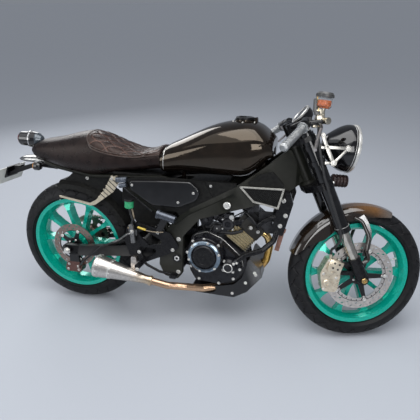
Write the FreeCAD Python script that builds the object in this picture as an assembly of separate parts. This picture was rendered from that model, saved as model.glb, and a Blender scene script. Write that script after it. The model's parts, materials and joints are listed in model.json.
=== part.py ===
"""A single-cylinder cafe racer motorcycle, parked on its side stand.

Every piece is modelled upright with the steering straight: x runs forward from the rear axle,
y to the rider's left and z up from the floor, in millimetres. The steered pieces are then turned
to the parked angle, and the whole machine is leaned onto its stand.
"""

import FreeCAD, Part
import math
import os

Vector = FreeCAD.Vector

# Driving dimensions of the chassis
WHEELBASE = 1335.0
CASTER = 25.5
TRAIL = 90.0
LEAN = 7.3
PARKED_STEER = 17.5
STEERING_LOCK = 33.0

# Wheels and tyres
REAR_RADIUS = 307.0
REAR_TREAD = 68.0
REAR_RIM_HALF = 54.0
FRONT_RADIUS = 300.0
FRONT_TREAD = 55.0
FRONT_RIM_HALF = 40.0
FLANGE_RADIUS = 230.0
FLANGE_WALL = 5.0
BEAD_RADIUS = 216.0
WELL_RADIUS = 197.0
SPOKES = 10
HUB_RADIUS = 33.0
AXLE_RADIUS = 8.5
SEAT_GAP = 0.3

# Fork
FORK_HALF = 98.0
TUBE_RADIUS = 28.5
STANCHION_RADIUS = 20.5
CASTING_RADIUS = 26.0
TUBE_FROM = 228.0
TUBE_TO = 668.0
CASTING_TO = 102.0
LOWER_CLAMP = (430.0, 458.0)
UPPER_CLAMP = (636.0, 656.0)
STEM_RADIUS = 15.0
HEAD_RADIUS = 31.0

# Frame, swinging arm and final drive
FRAME_OUTER = 132.0
FRAME_WALL = 28.0
PIVOT = (548.0, 332.0)
PIVOT_TUBE = 15.0
ARM_INNER = 104.0
ARM_OUTER = 130.0
CHAIN_LINE = 88.0
CHAIN_PITCH = 12.7
CHAIN_WIDTH = 15.0
CHAIN_SLOT = 7.4
CHAIN_HALF = 5.9
SLOT_REACH = 4.2
REAR_TEETH = 48
FRONT_TEETH = 14
DRIVE = (627.0, 347.0)

# Brakes
FRONT_DISC_RADIUS = 150.0
FRONT_DISC_Y = -63.0
REAR_DISC_RADIUS = 110.0
REAR_DISC_Y = -76.0
DISC_THICKNESS = 4.0
CALLIPER_GAP = 3.0
CALLIPER_EDGE = 94.0
CALLIPER_HOSE = (1196.0, -84.0, 402.0)
HOSE_RADIUS = 5.5
HANGER_THICKNESS = 10.0

# Engine
CASE_HALF = 72.0
CLUTCH_AT = (679.0, 362.0)
CLUTCH_FACE = -163.0
PUMP_AT = (786.0, 318.0)
GENERATOR_AT = (762.0, 350.0)
GENERATOR_FACE = 146.0
CASE_BOTTOM = 198.0
CYLINDER_BASE = (792.0, 396.0)
CYLINDER_TILT = 38.0

# Side stand
STAND_PIVOT = (552.0, 118.0, 196.0)
STAND_FOOT = (640.0, 262.0)
STAND_FOLDED = (-0.985, 0.06, 0.10)
STAND_RADIUS = 10.0
STAND_BOSS = 10.5
STAND_PIN = 6.0
FOOT_THICKNESS = 8.0

# Lines shared by neighbouring pieces, as x and z in side view
SPAR_TOP = [(470, 420), (540, 515), (607, 572), (716, 632), (816, 690), (WHEELBASE - 430, 758),
            (WHEELBASE - 319, 846)]
SPAR_BOTTOM = [(WHEELBASE - 251, 706), (WHEELBASE - 335, 650), (WHEELBASE - 445, 606), (793, 577), (651, 528),
               (576, 440), (572, 330), (568, 250)]
TANK_BASE = 706.0
TANK_REAR = 462.0
SEAT_FRONT = 458.0
FENDER_GAP = 9.0
FENDER_WALL = 3.0
TREAD_BANDS = 3

BEAM_RADIUS = 9.0
RAIL_RADIUS = 10.0
RAIL_ROUTE = [(604, -100, 540), (548, -98, 640), (500, -90, 688), (330, -78, 678), (110, -62, 664),
              (-60, -50, 690), (-132, -40, 706)]
STAY_ROUTE = [(500, -116, 430), (486, -106, 505), (306, -92, 628), (288, -78, 675)]
STAY_RADIUS = 8.0
SEAT_BEAMS = [(230, 72, 668), (20, 56, 674)]
FIN_HALF = 60.0
BADGE_AT = (773, 603)
BADGE_RADIUS = 17.0
TANK_BEAM = (900, 88, 742)
PAD_RADIUS = 10.0
PAD_HEIGHT = 36.0
PANEL_DEPTH = 16.0
STAY_BOLT = (250, 672)
STAY_SEAT = 83.2
MIRROR_THREAD = 4.25
MIRROR_DEPTH = 14.0
SPOOL_AT = (42.0, 24.0)
SPOOL_THREAD = 3.4
SPOOL_DEPTH = 18.0
SHOCK_LOW = (404, 0, 396)
SHOCK_TOP = (532, 0, 642)
SHOCK_END = 10.0
SPROCKET_HALF = CHAIN_SLOT / 2 - 0.7
ENGINE_BOLTS = [(556, 424), (552, 262)]
PUMP_MOUTH = (824.0, -130.0, 352.0)
HEAD_SIDE = 64.0
HEADER_RADIUS = 17.0
HEADER_BEND = 46.0
CAP_OPEN = 95.0
CAP_PIN = 1.5
CAP_EAR = 9.0
BRACKET_Y = -135.0
BRACKET_CLAMPS = (850, 790)
CLAMP_WALL = 5.0
HORN_AT = (1190, -20, 710)
CUP_RADIUS = 30.0
CANISTER_FROM = (466, 541)
CANISTER_TO = (548, 521)
TAIL_LAMP_AT = (-157, 0, 803)
COVER_ROWS = [(-288, 20, 700, 712), (-262, 34, 695, 722), (-215, 40, 693, 726), (-165, 40, 692, 724),
              (-130, 34, 690, 712)]
FENDER_INSIDE = 228.0
FENDER_SKIRT = [(60, 340), (60, 300), (80, 266), (94, 252), (110, 258), (122, 234), (136, 230), (150, 268),
                (163, 298), (164, 340), (130, 400), (90, 400)]

FRONT_HUB_HALF = 50.0
REAR_HUB_HALF = 60.0
TANK_ROWS = [(TANK_REAR, 92, 806, 2.6), (520, 104, 843, 2.5), (600, 118, 882, 2.4), (690, 132, 921, 2.4),
             (770, 140, 940, 2.4), (838, 139, 942, 2.5), (900, 126, 918, 2.6), (946, 98, 876, 2.6)]
CAP_X = 812.0
CAP_RADIUS = 38.0
CAP_TOP = 947.0
CAP_THICKNESS = 9.0
SEAT_ROWS = [(-196, 44, 742, 776, 2.4), (-148, 68, 710, 806, 2.4), (-67, 88, 690, 824, 2.4),
             (13, 101, 669, 844, 2.4), (92, 110, 661, 861, 2.4), (150, 114, 666, 856, 2.6),
             (214, 114, 682, 832, 2.8), (286, 110, 698, 805, 3.0), (358, 102, 706, 791, 3.0),
             (410, 96, 712, 800, 2.8), (SEAT_FRONT, 90, 714, 812, 2.6)]
SEAT_SEAM = [(112, 900), (112, 850), (128, 815), (160, 794), (262, 772), (340, 766), (410, 778),
             (SEAT_FRONT + 2, 786)]
HEADER_ROUTE = [(911.9, 0, 448.2), (938, 0, 427.8), (950, 0, 386), (938, 0, 310), (872, -10, 214),
                (780, -44, 178), (660, -104, 178), (586, -148, 198)]
MUFFLER_FROM = (439.7, -172.1, 219.1)
MUFFLER_TO = (170.0, -187.3, 273.6)
OUTLET_RADIUS = 24.0
OUTLET_DEPTH = 60.0
PLATE_CENTRE = (-356.0, 0.0, 640.0)
PLATE_TILT = 24.0
PLATE_HOLE = 3.2
PLATE_SPACING = 64.0
RISER_HALF = 45.0
RISER_TOP = 708.0
BAR_RADIUS = 11.1
GRIP_IN = Vector(1012, -206, 928)
GRIP_OUT = Vector(934, -298, 866)
HEADLIGHT_AT = Vector(1276, 0, 840)
HEADLIGHT_RADIUS = 99.0
HEADLIGHT_DROP = 7.0

AXLE_REAR = Vector(0, 0, REAR_RADIUS)
AXLE_FRONT = Vector(WHEELBASE, 0, FRONT_RADIUS)
RAKE = math.radians(CASTER)
FORK_UP = Vector(-math.sin(RAKE), 0, math.cos(RAKE))
FORK_AHEAD = Vector(math.cos(RAKE), 0, math.sin(RAKE))
STEER_FOOT = Vector(WHEELBASE + TRAIL, 0, 0)
LEG_OFFSET = (AXLE_FRONT - STEER_FOOT).dot(FORK_AHEAD)
Y_AXIS = Vector(0, 1, 0)


def interpolate(line, x):
    """Height of a line of points at x."""
    ordered = sorted(line)
    for (x0, z0), (x1, z1) in zip(ordered, ordered[1:]):
        if x <= x1:
            return z0 + (z1 - z0) * (x - x0) / (x1 - x0)
    return ordered[-1][1]


def rounded_path(points, radius, closed):
    """A wire through the points, with a tangent arc of the given radius at each corner."""
    count = len(points)
    radii = list(radius) if isinstance(radius, (list, tuple)) else [radius] * count
    starts, ends, middles = [], [], []
    for i, point in enumerate(points):
        before, after = points[i - 1], points[(i + 1) % count]
        at_end = not closed and i in (0, count - 1)
        u, v = (before - point), (after - point)
        reach_limit = 0.48 * min(u.Length, v.Length)
        u.normalize()
        v.normalize()
        half = math.acos(max(-1.0, min(1.0, u.dot(v)))) / 2
        reach = 0.0 if at_end or radii[i] <= 0 else min(radii[i] / math.tan(half), reach_limit)
        if reach < 0.02 or half > math.radians(89.5):
            starts.append(point)
            ends.append(point)
            middles.append(None)
            continue
        arc = reach * math.tan(half)
        inward = (u + v).normalize()
        starts.append(point + u * reach)
        ends.append(point + v * reach)
        middles.append(point + inward * (arc / math.sin(half) - arc))
    edges = []
    for i in range(count):
        if middles[i] is not None:
            edges.append(Part.Arc(starts[i], middles[i], ends[i]).toShape())
        follower = (i + 1) % count
        if follower == 0 and not closed:
            break
        if (starts[follower] - ends[i]).Length > 0.01:
            edges.append(Part.LineSegment(ends[i], starts[follower]).toShape())
    return Part.Wire(edges)


def side_face(outline, radius=0.0, y=0.0):
    """A face in side view, from x and z corners."""
    return Part.Face(rounded_path([Vector(x, y, z) for x, z in outline], radius, True))


def side_plate(outline, y_from, y_to, radius=0.0):
    """The side view outline as a solid between two y planes."""
    return side_face(outline, radius, y_from).extrude(Vector(0, y_to - y_from, 0))


def plan_plate(outline, z_from, z_to, radius=0.0):
    """An outline of x and y corners, seen from above, as a solid between two heights."""
    wire = rounded_path([Vector(x, y, z_from) for x, y in outline], radius, True)
    return Part.Face(wire).extrude(Vector(0, 0, z_to - z_from))


def turned(profile, centre=Vector(), axis=Y_AXIS, radius=0.0, angle=360.0, start=0.0):
    """A solid of revolution: profile holds distance from the axis and place along it."""
    radii = list(radius) if isinstance(radius, (list, tuple)) else [radius] * len(profile)
    radii = [0.0 if distance == 0 else r for (distance, _), r in zip(profile, radii)]
    wire = rounded_path([Vector(r, a, 0) for r, a in profile], radii, True)
    solid = Part.Face(wire).revolve(Vector(), Y_AXIS, -angle)
    solid.rotate(Vector(), Y_AXIS, -start)
    turn = FreeCAD.Rotation(Y_AXIS, axis)
    solid.Placement = FreeCAD.Placement(centre, turn).multiply(solid.Placement)
    return solid


def rod(start, end, radius):
    """A plain round bar between two points."""
    return Part.makeCylinder(radius, (end - start).Length, start, end - start)


def tube(points, radius, bend):
    """A round bar along straight runs joined by arcs of the bend radius."""
    path = rounded_path(points, bend, False)
    ring = Part.Wire([Part.Circle(points[0], points[1] - points[0], radius).toShape()])
    return path.makePipeShell([ring], True, False)


def oval(x, half_width, low, high, power, count=24):
    """A closed superellipse in the plane at x, between two heights."""
    points = []
    for k in range(count):
        t = 2 * math.pi * k / count
        c, s = math.cos(t), math.sin(t)
        y = half_width * math.copysign(abs(c) ** (2 / power), c)
        z = (low + high) / 2 + (high - low) / 2 * math.copysign(abs(s) ** (2 / power), s)
        points.append(Vector(x, y, z))
    curve = Part.BSplineCurve()
    curve.interpolate(Points=points, PeriodicFlag=True)
    return Part.Wire([curve.toShape()])


def joined(first, *others):
    """One solid from pieces that overlap or share faces."""
    return first.multiFuse(list(others)).removeSplitter() if others else first


def both_sides(solid):
    """The piece and its mirror image across the centre plane."""
    return [solid, solid.mirror(Vector(), Y_AXIS)]


def pair(solid):
    """The piece and its mirror image as one node."""
    return Part.makeCompound(both_sides(solid))


def at_side(point, y):
    return Vector(point[0], y, point[1])


def fork_point(along, y=0.0, ahead=0.0):
    """A point by its distance up the fork leg from the axle, and its distance ahead of the leg."""
    return AXLE_FRONT + FORK_UP * along + FORK_AHEAD * ahead + Vector(0, y, 0)


def lying_slot(radius, length, y_from, y_to, centre, angle, at_radius):
    """A slot cutter for a disc, with its long side turned from the tangent."""
    half = length / 2
    slot = side_plate([(-half, -radius), (half, -radius), (half, radius), (-half, radius)], y_from, y_to,
                      radius * 0.95)
    slot.rotate(Vector(), Y_AXIS, 55)
    slot.translate(Vector(at_radius, 0, 0))
    slot.rotate(Vector(), Y_AXIS, angle)
    slot.translate(centre)
    return slot


# Wheels


def tyre(centre, outer, tread, rim_half):
    """A tyre of round profile that grips the rim between its flanges, without its grooves."""
    widest = outer - tread
    inner_side = rim_half - FLANGE_WALL - SEAT_GAP
    over_flange = FLANGE_RADIUS + 1.5
    bead = BEAD_RADIUS + SEAT_GAP
    crown = []
    for k in range(2 * TREAD_BANDS + 1):
        a = math.pi / 2 * (k / TREAD_BANDS - 1)
        crown.append((widest + tread * math.cos(a), tread * math.sin(a)))
    wall = [(over_flange, rim_half + 1), (over_flange, inner_side), (bead, inner_side)]
    profile = crown + wall + [(r, -y) for r, y in reversed(wall)]
    return turned(profile, centre)


def wheel(centre, rim_half, hub_half, spoke_half):
    """A cast wheel: barrel with flanges, hub and evenly spaced tapered spokes in one piece."""
    flange_in = rim_half - FLANGE_WALL
    barrel = turned([(BEAD_RADIUS, -flange_in), (FLANGE_RADIUS, -flange_in), (FLANGE_RADIUS, -rim_half),
                     (BEAD_RADIUS - 4, -rim_half + 1.5), (WELL_RADIUS + 4, -rim_half * 0.55),
                     (WELL_RADIUS, -rim_half * 0.35), (WELL_RADIUS, rim_half * 0.35),
                     (WELL_RADIUS + 4, rim_half * 0.55), (BEAD_RADIUS - 4, rim_half - 1.5),
                     (FLANGE_RADIUS, rim_half), (FLANGE_RADIUS, flange_in), (BEAD_RADIUS, flange_in)])
    hub = turned([(AXLE_RADIUS + SEAT_GAP, -hub_half), (HUB_RADIUS, -hub_half), (HUB_RADIUS, -hub_half + 8),
                  (HUB_RADIUS - 4, 0), (HUB_RADIUS, hub_half - 8), (HUB_RADIUS, hub_half),
                  (AXLE_RADIUS + SEAT_GAP, hub_half)])
    reach = WELL_RADIUS + 5
    half_outline = [(HUB_RADIUS - 8, 17), (75, 10), (135, 8), (176, 11), (reach, 24)]
    outline = half_outline + [(x, -z) for x, z in reversed(half_outline)]
    spoke = side_plate(outline, -spoke_half, spoke_half, [0, 30, 60, 25, 0, 0, 25, 60, 30, 0])
    crown = turned([(0, -hub_half), (HUB_RADIUS, -hub_half), (WELL_RADIUS + 1, -spoke_half * 0.65),
                    (reach + 2, -spoke_half * 0.65), (reach + 2, spoke_half * 0.65),
                    (WELL_RADIUS + 1, spoke_half * 0.65), (HUB_RADIUS, hub_half), (0, hub_half)])
    bore = Part.makeCylinder(AXLE_RADIUS + SEAT_GAP, 4 * hub_half, Vector(0, -2 * hub_half, 0), Y_AXIS)
    spoke = spoke.common(crown)
    spokes = [spoke.rotated(Vector(), Y_AXIS, 360.0 * k / SPOKES) for k in range(SPOKES)]
    return joined(barrel, hub, *spokes).cut(bore).translated(centre)


def brake_disc(centre, y, radius, hub_half, slots, arms):
    """A slotted braking ring on an arm-shaped carrier, bolted to the hub's end face."""
    inner = radius - 34
    back = y - DISC_THICKNESS / 2
    ring = Part.makeCylinder(radius, DISC_THICKNESS, Vector(0, back, 0), Y_AXIS)
    ring = ring.cut(Part.makeCylinder(inner, DISC_THICKNESS, Vector(0, back, 0), Y_AXIS))
    cutters = []
    for row, (share, offset) in enumerate(((0.3, 0.0), (0.7, 0.5))):
        for k in range(slots):
            angle = 360.0 * (k + offset) / slots
            cutters.append(lying_slot(2.6, 12.0, back - 1, back + DISC_THICKNESS + 1, Vector(), angle,
                                      inner + 34 * share))
    ring = ring.cut(Part.makeCompound(cutters))
    carrier_face = -(hub_half + SEAT_GAP)
    sleeve = turned([(HUB_RADIUS - 9, y - 3), (HUB_RADIUS + 6, y - 3), (HUB_RADIUS + 6, y + 3),
                     (HUB_RADIUS + 1, carrier_face), (HUB_RADIUS - 9, carrier_face)])
    arm = side_plate([(HUB_RADIUS - 4, 13), (HUB_RADIUS - 4, -13), (inner + 3, -7), (inner + 3, 7)],
                     back, back + DISC_THICKNESS)
    bobbin = Part.makeCylinder(7.5, DISC_THICKNESS + 2, Vector(inner, back - 1, 0), Y_AXIS)
    spread = []
    for k in range(arms):
        angle = 360.0 * k / arms
        spread += [arm.rotated(Vector(), Y_AXIS, angle), bobbin.rotated(Vector(), Y_AXIS, angle)]
    return joined(ring, sleeve, *spread).translated(centre)


def rear_sprocket():
    """The wheel's sprocket, whose teeth run in the chain's slot, with lightening holes."""
    half = SPROCKET_HALF
    blank = sprocket_blank(REAR_TEETH, CHAIN_LINE)
    cuts = [Part.makeCylinder(HUB_RADIUS - 9, 40, Vector(0, CHAIN_LINE - 20, 0), Y_AXIS)]
    for k in range(8):
        hole = Part.makeCylinder(13, 40, Vector(66, CHAIN_LINE - 20, 0), Y_AXIS)
        cuts.append(hole.rotated(Vector(), Y_AXIS, 45.0 * k))
    seat = REAR_HUB_HALF + SEAT_GAP
    carrier = turned([(HUB_RADIUS - 9, seat), (HUB_RADIUS + 8, seat), (HUB_RADIUS + 16, CHAIN_LINE - half),
                      (HUB_RADIUS + 16, CHAIN_LINE), (HUB_RADIUS - 9, CHAIN_LINE)])
    return joined(blank.cut(Part.makeCompound(cuts)), carrier).translated(AXLE_REAR)


# Final drive chain


def drive_loop():
    """The chain's pitch line: the two sprocket circles and the lengths of the loop's four stretches."""
    rear = Vector(0, 0, REAR_RADIUS)
    front = Vector(DRIVE[0], 0, DRIVE[1])
    big = CHAIN_PITCH / (2 * math.sin(math.pi / REAR_TEETH))
    small = CHAIN_PITCH / (2 * math.sin(math.pi / FRONT_TEETH))
    span = (front - rear).Length
    along = (front - rear).normalize()
    up = Vector(-along.z, 0, along.x)
    tilt = math.asin((big - small) / span)
    normal_up = up * math.cos(tilt) + along * math.sin(tilt)
    normal_down = up * -math.cos(tilt) + along * math.sin(tilt)
    return rear, front, big, small, normal_up, normal_down, along


def chain_outline(offset_at, per_link):
    """Points round the loop at an offset from the pitch line that changes within each link."""
    rear, front, big, small, normal_up, normal_down, along = drive_loop()
    run = ((front + normal_up * small) - (rear + normal_up * big)).Length
    start_up = math.atan2(normal_up.z, normal_up.x)
    start_down = math.atan2(normal_down.z, normal_down.x)
    front_wrap = start_up - start_down
    rear_wrap = 2 * math.pi - front_wrap
    lengths = [run, small * front_wrap, run, big * rear_wrap]
    total = sum(lengths)
    links = 2 * round(total / CHAIN_PITCH / 2)
    points = []
    for k in range(links * per_link):
        s = total * k / (links * per_link)
        offset = offset_at(k % per_link)
        if s < lengths[0]:
            base = rear + normal_up * (big + offset)
            ahead = ((front + normal_up * small) - (rear + normal_up * big)).normalize()
            point = base + ahead * s
        elif s < lengths[0] + lengths[1]:
            a = start_up - (s - lengths[0]) / small
            point = front + Vector(math.cos(a), 0, math.sin(a)) * (small + offset)
        elif s < sum(lengths[:3]):
            t = s - lengths[0] - lengths[1]
            back = ((rear + normal_down * big) - (front + normal_down * small)).normalize()
            point = front + normal_down * (small + offset) + back * t
        else:
            a = start_down - (s - sum(lengths[:3])) / big
            point = rear + Vector(math.cos(a), 0, math.sin(a)) * (big + offset)
        points.append((point.x, point.z))
    return points


def chain():
    """The drive chain as one loop: scalloped side plates with a slot that the teeth run in."""
    waist, bulge = CHAIN_HALF - 1.2, CHAIN_HALF
    y = CHAIN_LINE
    outer = side_plate(chain_outline(lambda k: (waist, bulge)[k], 2), y - CHAIN_WIDTH / 2, y + CHAIN_WIDTH / 2)
    inner = side_plate(chain_outline(lambda k: -CHAIN_HALF, 1), y - CHAIN_WIDTH, y + CHAIN_WIDTH)
    slot = side_plate(chain_outline(lambda k: SLOT_REACH, 1), y - CHAIN_SLOT / 2, y + CHAIN_SLOT / 2)
    return outer.cut(inner).cut(slot)


# Chassis


def subframe(grow):
    """The tubes that carry the seat, each grown by a clearance: rails, stays and cross beams."""
    rail = tube([Vector(*p) for p in RAIL_ROUTE], RAIL_RADIUS + grow, 60)
    stay = tube([Vector(*p) for p in STAY_ROUTE], STAY_RADIUS + grow, 40)
    beams = [rod(Vector(x, -y, z), Vector(x, y, z), BEAM_RADIUS + grow) for x, y, z in SEAT_BEAMS]
    return both_sides(rail) + both_sides(stay) + beams


def frame():
    """Twin spars from the steering head to the pivot plates, with the tubes that carry the seat."""
    outline = SPAR_TOP + SPAR_BOTTOM + [(548, 226), (486, 236), (462, 290)]
    side = side_plate(outline, -FRAME_OUTER - 1, 0, [10] * len(outline))
    inner = FRAME_OUTER - FRAME_WALL
    plan = [(WHEELBASE - 243, -12), (WHEELBASE - 290, -44), (WHEELBASE - 385, -92), (868, -122),
            (760, -FRAME_OUTER), (440, -FRAME_OUTER), (440, -inner), (765, -inner), (855, -94),
            (WHEELBASE - 400, -62), (WHEELBASE - 315, -16), (WHEELBASE - 285, -4)]
    band = plan_plate(plan, 200, 900, [0, 30, 120, 160, 200, 0, 0, 180, 140, 110, 10, 0])
    spar = side.common(band)
    groove = [(x, z - 24) for x, z in SPAR_TOP[1:-1]]
    recess = side_plate(groove + [(x, z - 3) for x, z in reversed(groove)], -FRAME_OUTER - 5, -FRAME_OUTER + 3)
    spar = spar.cut(recess)
    badge = Part.makeCylinder(BADGE_RADIUS, 6, Vector(BADGE_AT[0], -FRAME_OUTER - 4, BADGE_AT[1]), Y_AXIS)
    head_from, head_to = LOWER_CLAMP[1] + 1.0, UPPER_CLAMP[0] - 1.0
    low, high = fork_point(head_from, 0, -LEG_OFFSET), fork_point(head_to, 0, -LEG_OFFSET)
    head = rod(low, high, HEAD_RADIUS)
    cups = [rod(low, low + FORK_UP * 14, HEAD_RADIUS + 5), rod(high - FORK_UP * 14, high, HEAD_RADIUS + 5)]
    bore = rod(low - FORK_UP * 5, high + FORK_UP * 5, STEM_RADIUS + 0.5)
    web = side_plate([(WHEELBASE - 325, 828), (WHEELBASE - 259, 706), (WHEELBASE - 335, 664), (930, 720)], -34, 34)
    x, y, z = TANK_BEAM
    beam = rod(Vector(x, -y, z), Vector(x, y, z), BEAM_RADIUS)
    bridge = rod(Vector(540, -inner - 4, 470), Vector(540, inner + 4, 470), 16)
    lower_bridge = rod(Vector(520, -inner - 4, 252), Vector(520, inner + 4, 252), 12)
    sides = both_sides(spar) + both_sides(badge)
    body = joined(head, *cups, web, *sides, *subframe(0.0), beam, shock_beam(BEAM_RADIUS), bridge, lower_bridge)
    pivot_bore = rod(at_side(PIVOT, -200), at_side(PIVOT, 200), PIVOT_TUBE + SEAT_GAP)
    return body.cut(Part.makeCompound([bore, pivot_bore]))


def swinging_arm():
    """A boxed arm that forks round the wheel from a cross member between the chain's runs."""
    x, z = PIVOT
    low, high = 320.0, 362.0
    side = [(x + 22, z + 14), (x + 22, z - 10), (438, low), (360, low - 4), (60, REAR_RADIUS - 26),
            (-26, REAR_RADIUS - 22), (-40, REAR_RADIUS), (-26, REAR_RADIUS + 22), (60, REAR_RADIUS + 24),
            (360, high + 8), (438, high)]
    blank = side_plate(side, -ARM_OUTER, ARM_OUTER, [10, 10, 30, 40, 30, 10, 15, 10, 30, 40, 30])
    wheel_room = plan_plate([(346, -ARM_INNER), (346, ARM_INNER), (-80, ARM_INNER), (-80, -ARM_INNER)], 0, 900, 18)
    necks = [plan_plate([(430, s * 98), (600, s * 98), (600, s * 200), (430, s * 200)], 0, 900) for s in (-1, 1)]
    slot = side_plate([(-18, REAR_RADIUS - AXLE_RADIUS - 0.5), (14, REAR_RADIUS - AXLE_RADIUS - 0.5),
                       (14, REAR_RADIUS + AXLE_RADIUS + 0.5), (-18, REAR_RADIUS + AXLE_RADIUS + 0.5)],
                      -200, 200, AXLE_RADIUS)
    arm = blank.cut(Part.makeCompound([wheel_room] + necks)).cut(slot)
    brace = [tube([Vector(414, s * 117, 350), Vector(352, s * 117, 402), Vector(180, s * 117, 340)], 9, 40)
             for s in (-1, 1)]
    bolt = rod(at_side(PIVOT, -FRAME_OUTER - 8), at_side(PIVOT, FRAME_OUTER + 8), PIVOT_TUBE)
    caps = [Part.makeCylinder(PIVOT_TUBE + 5, 6, at_side(PIVOT, y), Y_AXIS)
            for y in (-FRAME_OUTER - 7, FRAME_OUTER + 1)]
    axle = rod(AXLE_REAR + Vector(0, -ARM_OUTER - 14, 0), AXLE_REAR + Vector(0, ARM_OUTER + 14, 0), AXLE_RADIUS)
    nuts = [Part.makeCylinder(17, 12, AXLE_REAR + Vector(0, y, 0), Y_AXIS)
            for y in (-ARM_OUTER - 12, ARM_OUTER)]
    spacers = [rod(AXLE_REAR + Vector(0, s * (REAR_HUB_HALF + 1), 0), AXLE_REAR + Vector(0, s * ARM_INNER, 0), 14)
               for s in (-1, 1)]
    foot = Vector(*SHOCK_LOW) - shock_axis() * (SHOCK_END + SEAT_GAP)
    across = Vector(shock_axis().z, 0, -shock_axis().x) * 20
    lug = side_plate([((foot - across).x, (foot - across).z), ((foot + across).x, (foot + across).z),
                      (418, 350), (376, 350)], -14, 14)
    threads = both_sides(rod(spool_mouth() + Vector(0, SPOOL_DEPTH, 0), spool_mouth() - Y_AXIS, SPOOL_THREAD))
    return joined(arm, *brace, bolt, *caps, axle, *nuts, *spacers, lug).cut(Part.makeCompound(threads))


def spool_mouth():
    """Mouth of the right stand spool's thread on the swinging arm."""
    return Vector(SPOOL_AT[0], -ARM_OUTER, REAR_RADIUS - SPOOL_AT[1] + 10)


def shock():
    """The single rear damper with its coil, between the arm's lug and the seat frame's beam."""
    low, high = Vector(*SHOCK_LOW), Vector(*SHOCK_TOP)
    length = (high - low).Length
    profile = [(0, -SHOCK_END), (20, -SHOCK_END), (29, 6), (29, 18)]
    turns = 7
    pitch = (length - 46) / turns
    for k in range(turns):
        at = 24 + pitch * k
        profile += [(19, at), (26, at), (29, at + 5), (26, at + 10), (19, at + 10)]
    profile += [(19, length - 20), (29, length - 20), (29, length - 6), (18, length + SHOCK_END),
                (0, length + SHOCK_END)]
    return turned(profile, low, shock_axis())


def tank_section(x, half_width, high, power):
    low = max(TANK_BASE, interpolate(SPAR_TOP, x) + 5)
    return oval(x, half_width, low, high, power)


def fuel_tank():
    """A rounded steel tank over the spars, with its filler ring, front saddle and rear foot."""
    shape = Part.makeLoft([tank_section(*row) for row in TANK_ROWS], True, False)
    neck = Part.makeCylinder(CAP_RADIUS + 5, 30, Vector(CAP_X, 0, CAP_TOP - 30), Vector(0, 0, 1))
    tunnel = plan_plate([(930, -34), (1010, -34), (1010, 34), (930, 34)], 600, 838)
    hinge = cap_hinge()
    ears = [side_plate([(hinge.x - 5, hinge.z + 4), (hinge.x + 5, hinge.z + 4), (hinge.x + 8, CAP_TOP - 20),
                        (hinge.x - 8, CAP_TOP - 20)], y, y + 4, 3) for y in (-CAP_EAR - 4, CAP_EAR)]
    pin = rod(hinge + Vector(0, -CAP_EAR - 1, 0), hinge + Vector(0, CAP_EAR + 1, 0), CAP_PIN)
    room = rod(hinge + Vector(0, -CAP_EAR, 0), hinge + Vector(0, CAP_EAR, 0), 6.5)
    x, half, z = TANK_BEAM
    saddle = side_plate([(x - 14, z), (x + 14, z), (x + 14, z + 60), (x - 14, z + 60)], -half * 0.6, half * 0.6, 2)
    saddle = saddle.cut(rod(Vector(x, -half, z), Vector(x, half, z), BEAM_RADIUS + SEAT_GAP))
    beam = shock_beam_centre()
    foot = rod(beam + Vector(0, 0, BEAM_RADIUS + SEAT_GAP), Vector(beam.x, 0, TANK_BASE + 12), PAD_RADIUS)
    return joined(joined(shape, neck).cut(tunnel).cut(room), *ears, pin, saddle, foot)


def fuel_cap():
    """The hinged filler lid, standing just above its ring."""
    base = CAP_TOP + SEAT_GAP
    lid = Part.makeCylinder(CAP_RADIUS, CAP_THICKNESS, Vector(CAP_X, 0, base), Vector(0, 0, 1))
    lid = lid.makeFillet(2.5, [e for e in lid.Edges if e.BoundBox.ZMin > base + CAP_THICKNESS - 0.1])
    hinge = cap_hinge()
    half = CAP_EAR - SEAT_GAP
    tongue = plan_plate([(CAP_X + 20, -half), (hinge.x, -half), (hinge.x, half), (CAP_X + 20, half)],
                        base + 1, base + CAP_THICKNESS - 1)
    knuckle = rod(hinge + Vector(0, -half, 0), hinge + Vector(0, half, 0), 4.4)
    key_flap = plan_plate([(CAP_X - 24, -10), (CAP_X + 6, -10), (CAP_X + 6, 10), (CAP_X - 24, 10)],
                          base + CAP_THICKNESS - 1, base + CAP_THICKNESS + 3, 9)
    bore = rod(hinge + Vector(0, -20, 0), hinge + Vector(0, 20, 0), CAP_PIN + 0.1)
    return joined(lid, tongue, knuckle, key_flap).cut(bore)


def seat_halves():
    """The tail cowl with its side skirts and rubber pads, and the cushion that fills its open top."""
    whole = seat_body(0.0)
    above = SEAT_SEAM + [(SEAT_FRONT + 2, 900)]
    below = [(x + 0.5, z + 0.5) for x, z in SEAT_SEAM] + [(SEAT_FRONT + 2, 900)]
    cowl = whole.cut(side_plate(above, -200, 200, [0, 20, 20, 30, 60, 60, 60, 0, 0]))
    cushion = whole.common(side_plate(below, -200, 200, [0, 20, 20, 30, 60, 60, 60, 0, 0]))
    return joined(cowl, *seat_pads(0.0)).cut(Part.makeCompound(subframe(SEAT_GAP))), cushion


def seat_pads(grow):
    """The rubber pads that stand on the cross beam under the cowl, grown by a clearance."""
    x, half, z = SEAT_BEAMS[0]
    return both_sides(rod(Vector(x, half * 0.6, z), Vector(x, half * 0.6, z + PAD_HEIGHT), PAD_RADIUS + grow))


def covers():
    """Matte covers that close the gap between the tank, the seat and the spar, one each side."""
    top = TANK_BASE - 8
    line = [(x, interpolate(SPAR_TOP, x) + SEAT_GAP) for x in (560, 607, 716, 800)]
    outline = [(322, top - 14), (470, top), (812, top)] + line[::-1] + [(548, 552), (450, 552), (336, 640)]
    plate = side_plate(outline, -FRAME_OUTER + 2, -FRAME_OUTER + 20, [10, 10, 4, 0, 0, 0, 0, 20, 30, 20])
    seam = side_plate([(668, top + 2), (672, top + 2), (712, 632), (708, 632)], -FRAME_OUTER - 1, -FRAME_OUTER + 4)
    return pair(plate.cut(seam))


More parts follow.
